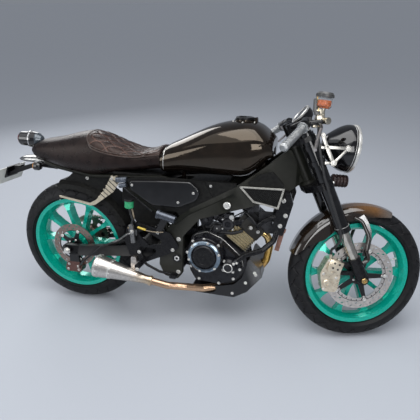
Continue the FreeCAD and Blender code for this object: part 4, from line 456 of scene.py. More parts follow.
def groove_depth(share, turn, repeats):
    """Depth of the tread's grooves at a share across the tread, from -1 to 1, and an angle."""
    side = 1 if share > 0 else -1
    out = abs(share)
    depth = 0.0
    for start, end, slant, offset, half in ((0.1, 0.78, 0.95, 0.0, 0.055), (0.34, 0.9, -0.6, 0.42, 0.04)):
        if out < start or out > end:
            continue
        reached = (out - start) / (end - start)
        phase = (turn / (2 * math.pi) * repeats + slant * reached ** 1.3 + offset + 0.5 * (side > 0)) % 1.0
        near = min(phase, 1.0 - phase) / (half * (1.15 - 0.7 * reached))
        ends = min(1.0, reached / 0.08, (1.0 - reached) / 0.08)
        if near < 1.0:
            depth = max(depth, ends * min(1.0, (1.0 - near) * 3.0))
    return depth


def make_tyre(name, node, hub, outer, tread, rim_half, place, body, slot, repeats):
    """A tyre round its hub: crown with grooves, walls, bead lines and the inside against the rim."""
    widest = outer - tread
    profile = []
    for k in range(ACROSS + 1):
        share = 2.0 * k / ACROSS - 1.0
        turn = share * math.pi / 2
        profile.append((widest + tread * math.cos(turn), tread * math.sin(turn), share))
    wall = [(RIM_EDGE + 0.006, rim_half + 0.006), (RIM_EDGE + 0.0035, rim_half + 0.0045),
            (RIM_EDGE + 0.0015, rim_half)]
    loop = [(r, -y, None) for r, y in reversed(wall)] + profile + [(r, y, None) for r, y in wall]
    loop += [(RIM_EDGE + 0.0015, rim_half - 0.006, None), (RIM_EDGE + 0.0015, -rim_half + 0.006, None)]
    form = bmesh.new()
    rings = []
    for k in range(TYRE_STEPS):
        turn = 2 * math.pi * k / TYRE_STEPS
        ring = []
        for radius, along, share in loop:
            cut = 0.0
            if share is not None and abs(share) < 0.92:
                cut = GROOVE_DEEP * groove_depth(share, turn, repeats)
            if share is not None and 0.93 < abs(share) < 0.97:
                cut = RIB_DEEP
            r = radius - cut * math.cos(math.asin(max(-1.0, min(1.0, along / tread))))
            y = along - cut * along / tread
            ring.append(form.verts.new((hub.x + r * math.cos(turn), y, hub.z + r * math.sin(turn))))
        rings.append(ring)
    for first, second in zip(rings, rings[1:] + rings[:1]):
        bridge(form, first, second)
    piece = new_piece(name, form, place, body, slot, wall_rubber, flat=40.0)
    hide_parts(node)


make_tyre("rear_tread", "rear_tyre", REAR_AXLE, REAR_RADIUS, 0.068, 0.054, FRAME_PLACE, "rear_wheel",
          "rear_tyre_rubber", 26)
make_tyre("front_tread", "front_tyre", FRONT_AXLE, FRONT_AXLE.z, 0.055, 0.04, FORK_PLACE, "front_wheel",
          "front_tyre_rubber", 24)

# The wheels are cast alloy under a bright turquoise metallic lacquer. A short valve stands in each
# rim, button screws hold the carriers of the discs, and the front disc has a scalloped inner band.

DARK = (0.006, 0.006, 0.007)


def blend_values(tree, factor, first, second):
    """A value that goes from the first to the second with a factor output."""
    mix = tree.nodes.new("ShaderNodeMix")
    for socket, value in (("A", first), ("B", second)):
        if isinstance(value, float):
            mix.inputs[socket].default_value = value
        else:
            tree.links.new(value, mix.inputs[socket])
    tree.links.new(factor, mix.inputs["Factor"])
    return mix.outputs["Result"]


def away_from(tree, place, point):
    """How far each point lies from a point of the upright machine."""
    where = tree.nodes.new("ShaderNodeTexCoord")
    reach = tree.nodes.new("ShaderNodeVectorMath")
    reach.operation = "DISTANCE"
    reach.inputs[1].default_value = place @ Vector(point)
    tree.links.new(where.outputs["Object"], reach.inputs[0])
    return reach.outputs["Value"], 0.0


def banded(name, place, bands, soft=0.0003, coat=0.0, bump=0.0, shine=0.5):
    """A finish in bands: each has its measure and place, where it starts, colour, roughness, metal."""
    material, tree, shader = new_material(name)
    drift = ranged(tree, grain(tree, 110.0), 0.0, 1.0, 0.35, 0.65)
    colour, rough, metal = None, None, None
    for measure, point, start, main, smooth, metallic in bands:
        shade = mix_colours(tree, drift, tuple(c * 0.85 for c in main),
                            tuple(min(1.0, c * 1.12) for c in main))
        if colour is None:
            colour, rough, metal = shade, smooth, metallic
            continue
        value, offset = measure(tree, place, point)
        step = ranged(tree, value, 0.0, 1.0, start + offset - soft, start + offset + soft)
        colour = mix_colours(tree, step, colour, shade)
        rough = blend_values(tree, step, rough, smooth)
        metal = blend_values(tree, step, metal, metallic)
    tree.links.new(colour, shader.inputs["Base Color"])
    for value, socket in ((rough, "Roughness"), (metal, "Metallic")):
        if isinstance(value, float):
            shader.inputs[socket].default_value = value
        else:
            tree.links.new(value, shader.inputs[socket])
    shader.inputs["Coat Weight"].default_value = coat
    shader.inputs["Specular IOR Level"].default_value = shine
    if bump:
        raised(tree, shader, grain(tree, 900.0, 6.0), bump)
    return material


def in_bands(measure, point, *bands):
    """The bands of one measure, ready for banded."""
    return [(measure, point, *band) for band in bands]


wheel_green = surface("wheel_green", (0.0, 0.36, 0.26), (0.0, 0.47, 0.355), (0.14, 0.24), 0.4, 160.0, 0.0,
                      coat=0.5)
warm_steel = surface("warm_steel", (0.26, 0.2, 0.17), (0.38, 0.3, 0.26), (0.3, 0.42), 1.0, 120.0)
dress(wheel_green, "front_rim", "rear_rim")
dress(warm_steel, "rear_sprocket")
hole_shade_paint = surface("hole_shade_paint", (0.004, 0.004, 0.004), (0.008, 0.008, 0.008), (0.5, 0.6), 0.0, 90.0)
rotor_steel = surface("rotor_steel", (0.5, 0.47, 0.45), (0.62, 0.59, 0.57), (0.26, 0.38), 0.9, 200.0)
WHEELS = (("front", FRONT_AXLE, -0.063, 0.116, FORK_PLACE, 0.1185, ((0.58, 0.54, 0.51), 0.32, 0.9)),
          ("rear", REAR_AXLE, -0.076, 0.076, FRAME_PLACE, 0.079, ((0.3, 0.23, 0.2), 0.34, 1.0)))
BAND_STEPS = 240
BAND_FACE = -0.0648
disc_band = bmesh.new()
loops = []
for y in (BAND_FACE, -0.0612):
    inner, outer = [], []
    for k in range(BAND_STEPS):
        turn = 2 * math.pi * k / BAND_STEPS
        scallop = 0.1045 - 0.0065 * max(0.0, math.cos(10 * turn)) ** 3
        for ring, radius in ((inner, scallop), (outer, 0.1185)):
            spot = FRONT_AXLE + Vector((radius * math.cos(turn), y, radius * math.sin(turn)))
            ring.append(disc_band.verts.new(spot))
    loops += [inner, outer]
for first, second in ((0, 1), (1, 3), (3, 2), (2, 0)):
    bridge(disc_band, loops[first], loops[second])
for out in spokes(10):
    spot = FRONT_AXLE + out * 0.1035 + Vector((0, -0.0646, 0))
    turned(disc_band, [(0.0058, -0.001), (0.0058, 0.0016), (0.0046, 0.003), (0.0022, 0.003),
                       (0.0018, 0.0014), (0, 0.0014)], 18, facing(spot, TO_RIGHT))
# The thirty small dark discs on the band stand for its drilled holes: painted shade, not cut holes.
for out in spokes(30, 6.0):
    turned(disc_band, [(0.0029, -0.0006), (0.0029, 0.0004), (0, 0.0004)], 12,
           facing(FRONT_AXLE + out * 0.1125 + Vector((0, -0.0649, 0)), TO_RIGHT), index=1)
new_piece("front_disc_band", disc_band, FORK_PLACE, "front_wheel", "front_disc_steel", rotor_steel,
          hole_shade_paint)

VALVE_WAY = spokes(1, 18.0)[0]
for end, hub, disc_y, carrier, place, ring_from, ring_steel in WHEELS:
    disc_at = hub + Vector((0, disc_y, 0))
    rotor = banded(end + "_rotor", place, in_bands(away_from, disc_at, (0.0, DARK, 0.34, 0.2),
                                                   (ring_from, *ring_steel)))
    dress(rotor, end + "_disc")
    face = disc_at + Vector((0, -0.003, 0))
    buttons = bmesh.new()
    for out in spokes(5):
        turned(buttons, [(0.0085, 0.0), (0.0085, 0.0012), (0.0068, 0.0024), (0.004, 0.0024),
                         (0.0036, 0.0012), (0, 0.0012)], 20, facing(face + out * carrier, TO_RIGHT))
        turned(buttons, [(0.0052, 0.0), (0.0052, 0.003), (0.0034, 0.0046), (0, 0.0046)], 14,
               facing(face + out * 0.029, TO_RIGHT))
    new_piece(end + "_disc_buttons", buttons, place, end + "_wheel", end + "_disc_steel", bright_steel)
    valve = bmesh.new()
    turned(valve, [(0.0045, 0.0), (0.0045, 0.012), (0.003, 0.013), (0.003, 0.026), (0.0036, 0.027),
                   (0.0036, 0.034), (0, 0.034)], 14, facing(hub + VALVE_WAY * 0.1975, -VALVE_WAY))
    new_piece(end + "_valve", valve, place, end + "_wheel", end + "_rim_green", bright_steel)

# The tank is pressed steel under a deep black lacquer, faintly warm, whose reflections are tinted warm
# brown as a painted reflection colour. The filler cap is ringed by small screws, and a pale trim strip
# parts the tank from the seat on each side.

gloss_black = surface("gloss_black", (0.003, 0.003, 0.0035), (0.007, 0.007, 0.008), (0.06, 0.12), 0.0, 22.0,
                      coat=0.12, shine=0.5)
# The warm specular tint paints a brown cast into the lacquer's reflections: painted reflection colour.
tank_lacquer = surface("tank_lacquer", (0.004, 0.003, 0.0025), (0.009, 0.006, 0.0045), (0.05, 0.1), 0.0,
                       22.0, coat=0.15, shine=0.55, tint=(1.0, 0.82, 0.62))
dress(tank_lacquer, "fuel_tank")
dress(satin_black, "fuel_cap")


def skin(place, *nodes):
    """The surface of CAD nodes as a tree for rays, upright in the machine's own axes."""
    upright_place = place.inverted()
    verts = []
    faces = []
    for node in nodes:
        mesh = frame["nodes"][node].data
        start = len(verts)
        verts += [upright_place @ vert.co for vert in mesh.vertices]
        faces += [[start + k for k in face.vertices] for face in mesh.polygons]
    return BVHTree.FromPolygons(verts, faces)


def met(tree, point, direction, lift=0.0):
    """Where a ray first meets the skin, lifted off it by a small height, and the way out there."""
    spot, normal, _, _ = tree.ray_cast(Vector(point), Vector(direction))
    if spot is None:
        return None
    if normal.dot(Vector(direction)) > 0:
        normal = -normal
    return spot + normal * lift, normal


def hose(name, points, radius, place, body, slot, finish, closed=False):
    """A round hose, cable or cord: one smooth curve with a round bevel."""
    curve = bpy.data.curves.new(name, "CURVE")
    curve.dimensions = "3D"
    curve.bevel_depth = radius
    curve.bevel_resolution = 3
    curve.resolution_u = 6
    curve.use_fill_caps = True
    line = curve.splines.new("NURBS")
    line.points.add(len(points) - 1)
    for control, point in zip(line.points, points):
        control.co = (*(place @ Vector(point)), 1.0)
    line.order_u = 3
    line.use_endpoint_u = not closed
    line.use_cyclic_u = closed
    curve.materials.append(finish)
    made = bpy.data.objects.new(name, curve)
    bpy.context.scene.collection.objects.link(made)
    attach(made, body)
    return made


tank_skin = skin(FRAME_PLACE, "fuel_tank")
for side, name in ((-1, "right"), (1, "left")):
    trim = []
    for k in range(13):
        t = k / 12
        hit = met(tank_skin, (0.482 - 0.006 * t, side * 0.4, 0.834 - 0.108 * t), (0, -side, 0), 0.0008)
        if hit:
            trim.append(hit[0])
    hose("tank_trim_" + name, trim, 0.0016, *ON_FRAME, "gloss_black", bright_steel)
FILLER_X = 0.812
rim_hits = [met(tank_skin, (FILLER_X + 0.052 * out.x, 0.052 * out.z, 1.2), (0, 0, -1))
            for out in spokes(6, 30.0)]
screw_heads("filler_screws", [hit for hit in rim_hits if hit], 0.0032, *ON_FRAME, "gloss_black",
            bright_steel)

# The seat's cowl is moulded under pebble-grained vinyl. The cushion on it is padded, quilted in
# long leaf shapes with brown stitching, and edged by two cords of piping along the seam.

QUILT_PITCH = 0.05
QUILT_LENGTH = 0.085
QUILT_DIP = 0.0036
QUILT_FROM = 0.128
QUILT_TO = 0.45
QUILT_FADE = 0.012
VOXEL = 0.0026
STITCH = 0.0026
SEAM_SIDE = [(0.456, 0.786), (0.41, 0.779), (0.34, 0.768), (0.262, 0.774), (0.2, 0.785), (0.16, 0.796),
             (0.14, 0.806), (0.126, 0.82), (0.116, 0.838)]


def vinyl(name, main, other, seam=None):
    """Pebble-grained vinyl, with its quilting lines in another colour where the mesh marks them."""
    material, tree, shader = new_material(name)
    drift = grain(tree, 30.0)
    colour = mix_colours(tree, ranged(tree, drift, 0.0, 1.0, 0.35, 0.65), main, other)
    if seam:
        line = tree.nodes.new("ShaderNodeAttribute")
        line.attribute_name = "quilt"
        colour = mix_colours(tree, line.outputs["Fac"], colour, seam)
    tree.links.new(colour, shader.inputs["Base Color"])
    tree.links.new(ranged(tree, drift, 0.24, 0.36, 0.3, 0.7), shader.inputs["Roughness"])
    place = tree.nodes.new("ShaderNodeTexCoord")
    cells = tree.nodes.new("ShaderNodeTexVoronoi")
    cells.inputs["Scale"].default_value = 420.0
    tree.links.new(place.outputs["Object"], cells.inputs["Vector"])
    raised(tree, shader, cells.outputs["Distance"], 0.6, 0.0008)
    shader.inputs["Specular IOR Level"].default_value = 0.3
    shader.inputs["Specular Tint"].default_value = (1.0, 0.86, 0.8, 1.0)
    return material


cowl_vinyl = vinyl("cowl_vinyl", (0.005, 0.003, 0.003), (0.011, 0.0065, 0.006))
quilt_vinyl = vinyl("quilt_vinyl", (0.013, 0.007, 0.006), (0.026, 0.014, 0.011), (0.14, 0.075, 0.058))
piping_vinyl = surface("piping_vinyl", (0.03, 0.018, 0.014), (0.05, 0.032, 0.025), (0.26, 0.36), 0.0, 80.0,
                       0.2, 900.0)
dress(cowl_vinyl, "seat_cowl")

pad_mesh = frame["nodes"]["seat_cushion"].data.copy()
pad = bpy.data.objects.new("quilted_cushion", pad_mesh)
bpy.context.scene.collection.objects.link(pad)
remesh = pad.modifiers.new("even", "REMESH")
remesh.mode = "VOXEL"
remesh.voxel_size = VOXEL
bpy.context.view_layer.update()
even = bpy.data.meshes.new_from_object(pad.evaluated_get(bpy.context.evaluated_depsgraph_get()))
pad.modifiers.remove(remesh)
pad.data = even
upright_frame = FRAME_PLACE.inverted()
normals = [vert.normal.copy() for vert in even.vertices]
marks = even.attributes.new("quilt", "FLOAT", "POINT")
for vert, normal in zip(even.vertices, normals):
    spot = upright_frame @ vert.co
    out = upright_frame.to_3x3() @ normal
    if out.z < -0.5 and abs(spot.y) < 0.075:
        continue
    around = math.atan2(spot.y, spot.z - 0.7) * 0.13
    wave = 0.5 * QUILT_PITCH * math.sin(math.pi * (spot.x - 0.13) / QUILT_LENGTH)
    near = 1.0
    for sign in (-1, 1):
        place = (around - sign * wave) / QUILT_PITCH
        near = min(near, abs(place - round(place)) * QUILT_PITCH)
    fade = min(1.0, max(0.0, (spot.x - QUILT_FROM) / QUILT_FADE))
    fade *= min(1.0, max(0.0, (QUILT_TO - spot.x) / QUILT_FADE))
    puff = min(1.0, near / 0.011) ** 0.6
    vert.co += normal * (0.0012 - QUILT_DIP * fade * (1.0 - puff))
    marks.data[vert.index].value = fade * max(0.0, 1.0 - near / STITCH)
even.materials.clear()
even.materials.append(quilt_vinyl)
even.shade_smooth()
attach(pad, "frame")
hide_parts("seat_cushion")

seat_skin = skin(FRAME_PLACE, "seat_cowl", "seat_cushion")
for rank, raise_by in enumerate((0.0, 0.0085)):
    line = []
    for side in (-1, 1):
        half = [met(seat_skin, (x, side * 0.4, z + raise_by), (0, -side, 0), 0.0012) for x, z in SEAM_SIDE]
        line.append([hit[0] for hit in half if hit])
    over = [met(seat_skin, (0.113 + 0.6 * raise_by, y, 1.2), (0, 0, -1), 0.0012)
            for y in (-0.05, -0.025, 0.0, 0.025, 0.05)]
    route = line[0] + [hit[0] for hit in over if hit] + line[1][::-1]
    hose("piping_" + ("low", "high")[rank], route, 0.0024, *ON_FRAME, "seat_leather", piping_vinyl)

# Under the seat sit matte moulded covers, bowed gloss panels, the dark inlet box and the mudguard.
# Bright screws hold the panels and the guard's web to the tubes.

matte_plastic = surface("matte_plastic", (0.006, 0.006, 0.006), (0.012, 0.012, 0.011), (0.38, 0.52), 0.0,
                        90.0, 0.15, 1200.0, shine=0.14)
dress(matte_plastic, "mid_covers", "airbox", "rear_mudguard")
dress(gloss_black, "side_panels")


def slab(form, centre, size, move=Matrix(), index=0, bevel=0.0):
    """Adds a bevelled block of the given size about its centre."""
    verts = bmesh.ops.create_cube(form, size=1.0)["verts"]
    for vert in verts:
        vert.co = move @ (Vector(centre) + Vector(c * s for c, s in zip(vert.co, size)))
    if bevel:
        edges = list({edge for vert in verts for edge in vert.link_edges})
        rounded = bmesh.ops.bevel(form, geom=edges, offset=bevel, segments=2, affect="EDGES", profile=0.6)
        verts = rounded["verts"]
    for vert in verts:
        for face in vert.link_faces:
            face.material_index = index


seat_pan = bmesh.new()
slab(seat_pan, (0.35, 0.0, 0.692), (0.23, 0.17, 0.012), bevel=0.003)
new_piece("seat_pan", seat_pan, *ON_FRAME, "matte_cover", matte_plastic)
cover_skin = skin(FRAME_PLACE, "mid_covers", "side_panels", "frame", "mudguard_stay", "rear_mudguard")
BESIDE = 0.6


def from_right(tree, *places):
    """Landing spots on the skin for points given by x and z, seen from the machine's right side."""
    hits = [met(tree, (x, -BESIDE, z), (0, 1, 0)) for x, z in places]
    return [(hit[0], TO_RIGHT) for hit in hits if hit]


def from_left(tree, *places):
    """Landing spots on the skin for points given by x and z, seen from the machine's left side."""
    hits = [met(tree, (x, BESIDE, z), TO_RIGHT) for x, z in places]
    return [(hit[0], (0, 1, 0)) for hit in hits if hit]


panel_spots = from_right(cover_skin, (0.352, 0.66), (0.629, 0.647), (0.56, 0.6), (0.7, 0.68))
panel_spots += from_left(cover_skin, (0.352, 0.66), (0.62, 0.682), (0.56, 0.6))
screw_heads("panel_screws", panel_spots, 0.0045, *ON_FRAME, "panel_black", bright_steel)
guard_spots = from_right(cover_skin, (0.09, 0.649), (0.262, 0.66), (0.236, 0.668), (0.31, 0.56))
screw_heads("guard_screws", guard_spots, 0.006, *ON_FRAME, "guard_plastic", bright_steel)

# The guard's stay is a pressed steel strip, pale, with its ribs drawn as dark stripes of painted shade.
# The small canister, the plate's bracket and its bright cover, and the two round lamps hang from the tail.

plate_pale = surface("plate_pale", (0.55, 0.56, 0.52), (0.66, 0.67, 0.62), (0.3, 0.42), 0.0, 30.0)
dress(plate_pale, "number_plate")


def along_way(tree, place, way):
    """How far each point lies along a direction of the upright machine."""
    turned_way = place.to_3x3() @ Vector(way)
    where = tree.nodes.new("ShaderNodeTexCoord")
    dot = tree.nodes.new("ShaderNodeVectorMath")
    dot.operation = "DOT_PRODUCT"
    dot.inputs[1].default_value = turned_way
    tree.links.new(where.outputs["Object"], dot.inputs[0])
    return dot.outputs["Value"], place.translation.dot(turned_way)


def bands_along(name, place, way, *bands, **looks):
    """A finish in bands along one direction of the upright machine."""
    return banded(name, place, in_bands(along_way, way, *bands), **looks)


CREAM = (0.5, 0.45, 0.35)
CHROME = (0.62, 0.62, 0.62)
# The dark stripes between the pale bands are painted shade for the grooves between the stay's ribs.
ribs_with_groove_shade = [(0.0, CREAM, 0.34, 0.4)]
for k in range(6):
    ribs_with_groove_shade.append((0.563 + 0.0195 * k, DARK, 0.5, 0.0))
    ribs_with_groove_shade.append((0.567 + 0.0195 * k, CREAM, 0.34, 0.4))
dress(bands_along("stay_cream", FRAME_PLACE, (0.643, 0.0, 0.766), *ribs_with_groove_shade), "mudguard_stay")
dress(bands_along("canister_blue", FRAME_PLACE, (0.237, 0.0, 0.9715), (0.0, DARK, 0.4, 0.0),
                  (0.6175, (0.085, 0.095, 0.115), 0.26, 0.7)), "canister")
dress(bands_along("stop_lamp", FRAME_PLACE, (-1, 0, 0), (0.0, (0.07, 0.085, 0.1), 0.22, 0.4),
                  (0.188, DARK, 0.14, 0.0), (0.2146, CHROME, 0.16, 0.9), (0.2182, DARK, 0.1, 0.0),
                  (0.2702, (0.2, 0.008, 0.008), 0.1, 0.0), coat=0.5), "tail_lamp")
dress(bands_along("small_lamps", FRAME_PLACE, (-1, 0, 0), (0.0, DARK, 0.2, 0.2),
                  (0.174, (0.5, 0.2, 0.02), 0.12, 0.0), coat=0.6), "rear_signals")
dress(bands_along("bracket_cover", FRAME_PLACE, (0, 0, 1), (0.0, DARK, 0.32, 0.3),
                  (0.691, (0.42, 0.42, 0.41), 0.24, 1.0)), "plate_bracket")

clamp = bmesh.new()
turned(clamp, [(0, 0), (0.011, 0), (0.013, 0.002), (0.013, 0.05), (0.011, 0.052), (0, 0.052)], 28,
       facing((0.262, -0.112, 0.668), (1, 0, 0.1)))
turned(clamp, [(0, 0), (0.009, 0), (0.0105, 0.0015), (0.0105, 0.036), (0, 0.038)], 24,
       facing((0.276, -0.114, 0.642), (1, 0, 0.2)))
clamp_blue = surface("clamp_blue", (0.11, 0.125, 0.15), (0.17, 0.19, 0.22), (0.2, 0.32), 0.8, 90.0)
new_piece("stay_clamp", clamp, *ON_FRAME, "stay_steel", clamp_blue)
hose("guard_rod", ((0.306, -0.132, 0.64), (0.372, -0.136, 0.592), (0.436, -0.138, 0.545)), 0.0042,
     *ON_FRAME, "stay_steel", satin_black)

PLATE_CENTRE = Vector((-0.356, 0.0, 0.64))
PLATE_TILT = math.radians(24.0)
PLATE_WIDE = 0.19
PLATE_LOW, PLATE_HIGH = -0.062, 0.024
plate_move = FRAME_PLACE @ Matrix.Translation(PLATE_CENTRE) @ Matrix.Rotation(PLATE_TILT, 4, "Y")
rim = bmesh.new()
middle = (PLATE_LOW + PLATE_HIGH) / 2
tall = PLATE_HIGH - PLATE_LOW
for y, z, wide, high in ((0.0, PLATE_HIGH - 0.002, PLATE_WIDE, 0.003),
                         (0.0, PLATE_LOW + 0.002, PLATE_WIDE, 0.003),
                         (PLATE_WIDE / 2 - 0.002, middle, 0.003, tall),
                         (0.002 - PLATE_WIDE / 2, middle, 0.003, tall)):
    slab(rim, (-0.0028, y, z), (0.0016, wide, high), bevel=0.0004)
new_piece("plate_rim", rim, plate_move, "frame", "plate_white", plate_pale)
screw_heads("plate_screws", [(Vector((-0.0023, s * 0.032, 0.0)), (-1, 0, 0)) for s in (-1, 1)], 0.005,
            plate_move, "frame", "plate_white", bright_steel)

# The rear brake's calliper and its master cylinder are reddish cast alloy, with a beige hose and a
# green fluid bottle under a black lid. The footrests' hangers are satin black with bright screws.

rear_brake_parts = bands_along("rear_brake_parts", FRAME_PLACE, (0, 0, 1),
                               (0.0, (0.15, 0.08, 0.068), 0.34, 0.8), (0.228, DARK, 0.4, 0.0),
                               (0.385, (0.2, 0.2, 0.2), 0.3, 0.9), (0.484, DARK, 0.45, 0.0),
                               (0.557, (0.03, 0.3, 0.13), 0.16, 0.0), (0.59, DARK, 0.4, 0.0))
dress(rear_brake_parts, "rear_brake")
dress(satin_black, "footrests", "side_stand")
side_skin = skin(FRAME_PLACE, "footrests", "rear_brake", "swinging_arm", "frame", "muffler")
hanger_spots = from_right(side_skin, (0.53, 0.372), (0.35, 0.452), (0.398, 0.305), (0.376, 0.352),
                          (0.462, 0.45))
screw_heads("hanger_screws", hanger_spots, 0.0065, *ON_FRAME, "footrest_alloy", bright_steel)
brake_spots = from_right(side_skin, (-0.035, 0.185), (0.022, 0.185), (-0.028, 0.212), (0.03, 0.212))
screw_heads("brake_screws", brake_spots, 0.005, *ON_FRAME, "rear_brake_alloy", bright_steel)
line_beige = surface("line_beige", (0.2, 0.16, 0.11), (0.3, 0.25, 0.18), (0.34, 0.46), 0.0, 120.0)
sleeve_yellow = surface("sleeve_yellow", (0.5, 0.36, 0.04), (0.62, 0.46, 0.07), (0.3, 0.4), 0.0, 120.0)
hose("bottle_hose", ((0.342, -0.140, 0.551), (0.353, -0.146, 0.521), (0.350, -0.148, 0.488),
                     (0.324, -0.148, 0.457)), 0.0042, *ON_FRAME, "rear_brake_alloy", line_beige)
hose("switch_wire", ((0.404, -0.156, 0.461), (0.445, -0.154, 0.451), (0.489, -0.146, 0.455)), 0.0022,
     *ON_FRAME, "rear_brake_alloy", line_beige)
hose("switch_sleeve", ((0.374, -0.157, 0.471), (0.411, -0.156, 0.461)), 0.0048, *ON_FRAME,
     "rear_brake_alloy", sleeve_yellow)
pivot_nuts = bmesh.new()
for side in (-1, 1):
    turned(pivot_nuts, [(0.0145, 0.0), (0.0145, 0.006), (0.0125, 0.008), (0.007, 0.008), (0.006, 0.004),
                        (0, 0.004)], 6, facing((0.548, side * 0.1326, 0.332), (0, side, 0)))
new_piece("pivot_nuts", pivot_nuts, *ON_FRAME, "arm_paint", bright_steel)
axle_nuts = bmesh.new()
arm_skin = skin(FRAME_PLACE, "swinging_arm")
for side in (-1, 1):
    hit = met(arm_skin, (0.0, side * 0.4, REAR_RADIUS), (0, -side, 0))
    if hit:
        turned(axle_nuts, [(0.017, -0.0002), (0.017, 0.0016), (0.0135, 0.0018), (0.0135, 0.0095),
                           (0.012, 0.011), (0.006, 0.011), (0.006, 0.016), (0, 0.016)], 6,
               facing(hit[0], (0, side, 0)))
new_piece("rear_axle_nuts", axle_nuts, *ON_FRAME, "arm_paint", bright_steel)

# The engine is cast alloy under satin black paint, with a bright bare ring round the clutch cap, a
# knurled pump cap, a silver gasket line, and screws in every boss round its covers.

CLUTCH_AT = Vector((0.679, 0.0, 0.362))
CLUTCH_FACE = -0.163
PUMP_AT = Vector((0.786, 0.0, 0.318))
PUMP_FACE = PUMP_AT + Vector((0, -0.1396, 0))
COVER_LINE = ((600, 290), (594, 380), (616, 432), (672, 450), (740, 424), (830, 346), (842, 300),
              (812, 246), (740, 214), (640, 226))
LEFT_LINE = ((672, 250), (664, 330), (690, 420), (740, 424), (830, 346), (842, 300), (812, 246), (740, 214))
COVER_MIDDLE = (728, 325)
case_paint = surface("case_paint", (0.005, 0.005, 0.007), (0.011, 0.011, 0.014), (0.22, 0.36), 0.0, 50.0,
                     0.2, 900.0, worn=(0.09, 0.09, 0.095), shine=0.3)
cast_gold = bands_along("cast_gold", FRAME_PLACE, (0.616, 0.0, 0.788), (0.0, (0.4, 0.35, 0.24), 0.4, 0.9),
                        (0.884, (0.03, 0.028, 0.024), 0.42, 0.5), (0.944, (0.012, 0.012, 0.013), 0.34, 0.2),
                        bump=0.3)
steel_blue = surface("steel_blue", (0.17, 0.22, 0.27), (0.27, 0.33, 0.39), (0.14, 0.24), 1.0, 60.0)
dress(case_paint, "crankcase", "clutch_cover", "generator_cover")
dress(cast_gold, "cylinder")

clutch_ring = bmesh.new()
turned(clutch_ring, [(0.0585, 0.157), (0.059, 0.1589), (0.066, 0.161), (0.0712, 0.1586), (0.0745, 0.1562),
                     (0.0745, 0.1535)], 96, facing(CLUTCH_AT, TO_RIGHT), closed=True)
new_piece("clutch_ring", clutch_ring, *ON_FRAME, "clutch_alloy", steel_blue)
clutch_cap = bmesh.new()
move = facing(CLUTCH_AT + Vector((0, CLUTCH_FACE, 0)), TO_RIGHT)
turned(clutch_cap, [(0.0474, -0.001), (0.0474, 0.0012), (0.045, 0.0022), (0.034, 0.0022), (0.033, 0.0012),
                    (0.012, 0.0012), (0.011, 0.003), (0.006, 0.003), (0.005, 0.0016), (0, 0.0016)], 96,
       move)
new_piece("clutch_cap", clutch_cap, *ON_FRAME, "clutch_alloy", satin_black)
knurl = bmesh.new()
rings = []
for along, shrink in ((0.0, 0.0), (0.0075, 0.0), (0.009, 0.0012)):
    middle = PUMP_FACE + Vector((0.0, -along, 0.0))
    rings.append([knurl.verts.new(middle + out * ((0.0252 if k % 2 else 0.0238) - shrink))
                  for k, out in enumerate(spokes(72))])
for first, second in zip(rings, rings[1:]):
    bridge(knurl, first, second)
knurl.faces.new(rings[0])
knurl.faces.new(rings[-1])
turned(knurl, [(0.0215, 0.0), (0.0215, 0.0104), (0.0198, 0.0112), (0.0178, 0.0104), (0.0178, 0.0)], 48,
       facing(PUMP_FACE, TO_RIGHT), index=1)
new_piece("pump_cap", knurl, *ON_FRAME, "clutch_alloy", case_paint, bright_steel)


def around(points, shrink, centre):
    """Points drawn in towards a centre, in metres."""
    return [((centre[0] + (x - centre[0]) * shrink) / 1000, (centre[1] + (z - centre[1]) * shrink) / 1000)
            for x, z in points]


engine_skin = skin(FRAME_PLACE, "clutch_cover", "crankcase", "generator_cover", "cylinder", "belly_guard")
bolts = from_right(engine_skin, *around(COVER_LINE, 0.93, COVER_MIDDLE))
bolts += from_left(engine_skin, *around(LEFT_LINE, 0.9, (752, 325)))
for centre, radius, count, start in ((CLUTCH_AT, 0.069, 6, 15.0), (PUMP_AT, 0.031, 4, 40.0)):
    spots = [centre + out * radius for out in spokes(count, start)]
    bolts += from_right(engine_skin, *((spot.x, spot.z) for spot in spots))
screw_heads("engine_screws", bolts, 0.0052, *ON_FRAME, "case_alloy", bright_steel)
SEAM_AT = -0.0718
edge = [Vector((x, SEAM_AT, z)) for x, z in around(COVER_LINE, 1.002, COVER_MIDDLE)]
seam_line = []
for k, here in enumerate(edge):
    before, after = edge[k - 1], edge[(k + 1) % len(edge)]
    seam_line += [here.lerp(before, 0.3), here, here.lerp(after, 0.3)]
hose("cover_gasket", seam_line, 0.0019, *ON_FRAME, "case_alloy", bright_steel, closed=True)
throttle = bmesh.new()
THROTTLE_AT = Vector((0.767, -0.03, 0.497))
move = facing(THROTTLE_AT, TO_RIGHT)
turned(throttle, [(0, 0), (0.026, 0), (0.026, 0.028), (0.03, 0.03), (0.03, 0.04), (0.026, 0.042),
                  (0.026, 0.05), (0.022, 0.053), (0.012, 0.053), (0.01, 0.0505), (0, 0.0505)], 48, move)
for way, reach in ((Vector((-0.9, 0, 0.42)), 0.07), (Vector((0.75, 0, 0.1)), 0.075)):
    turned(throttle, [(0, 0), (0.022, 0), (0.022, reach - 0.016), (0.025, reach - 0.014),
                      (0.025, reach - 0.004), (0.022, reach), (0, reach)], 32,
           facing(THROTTLE_AT + Vector((0, -0.016, 0)), way))
slab(throttle, THROTTLE_AT + Vector((0.0, -0.025, 0.032)), (0.04, 0.034, 0.026), bevel=0.003)
slab(throttle, THROTTLE_AT + Vector((-0.05, -0.03, -0.026)), (0.034, 0.03, 0.03), bevel=0.004)
new_piece("throttle_body", throttle, *ON_FRAME, "case_alloy", case_paint)
starter = bmesh.new()
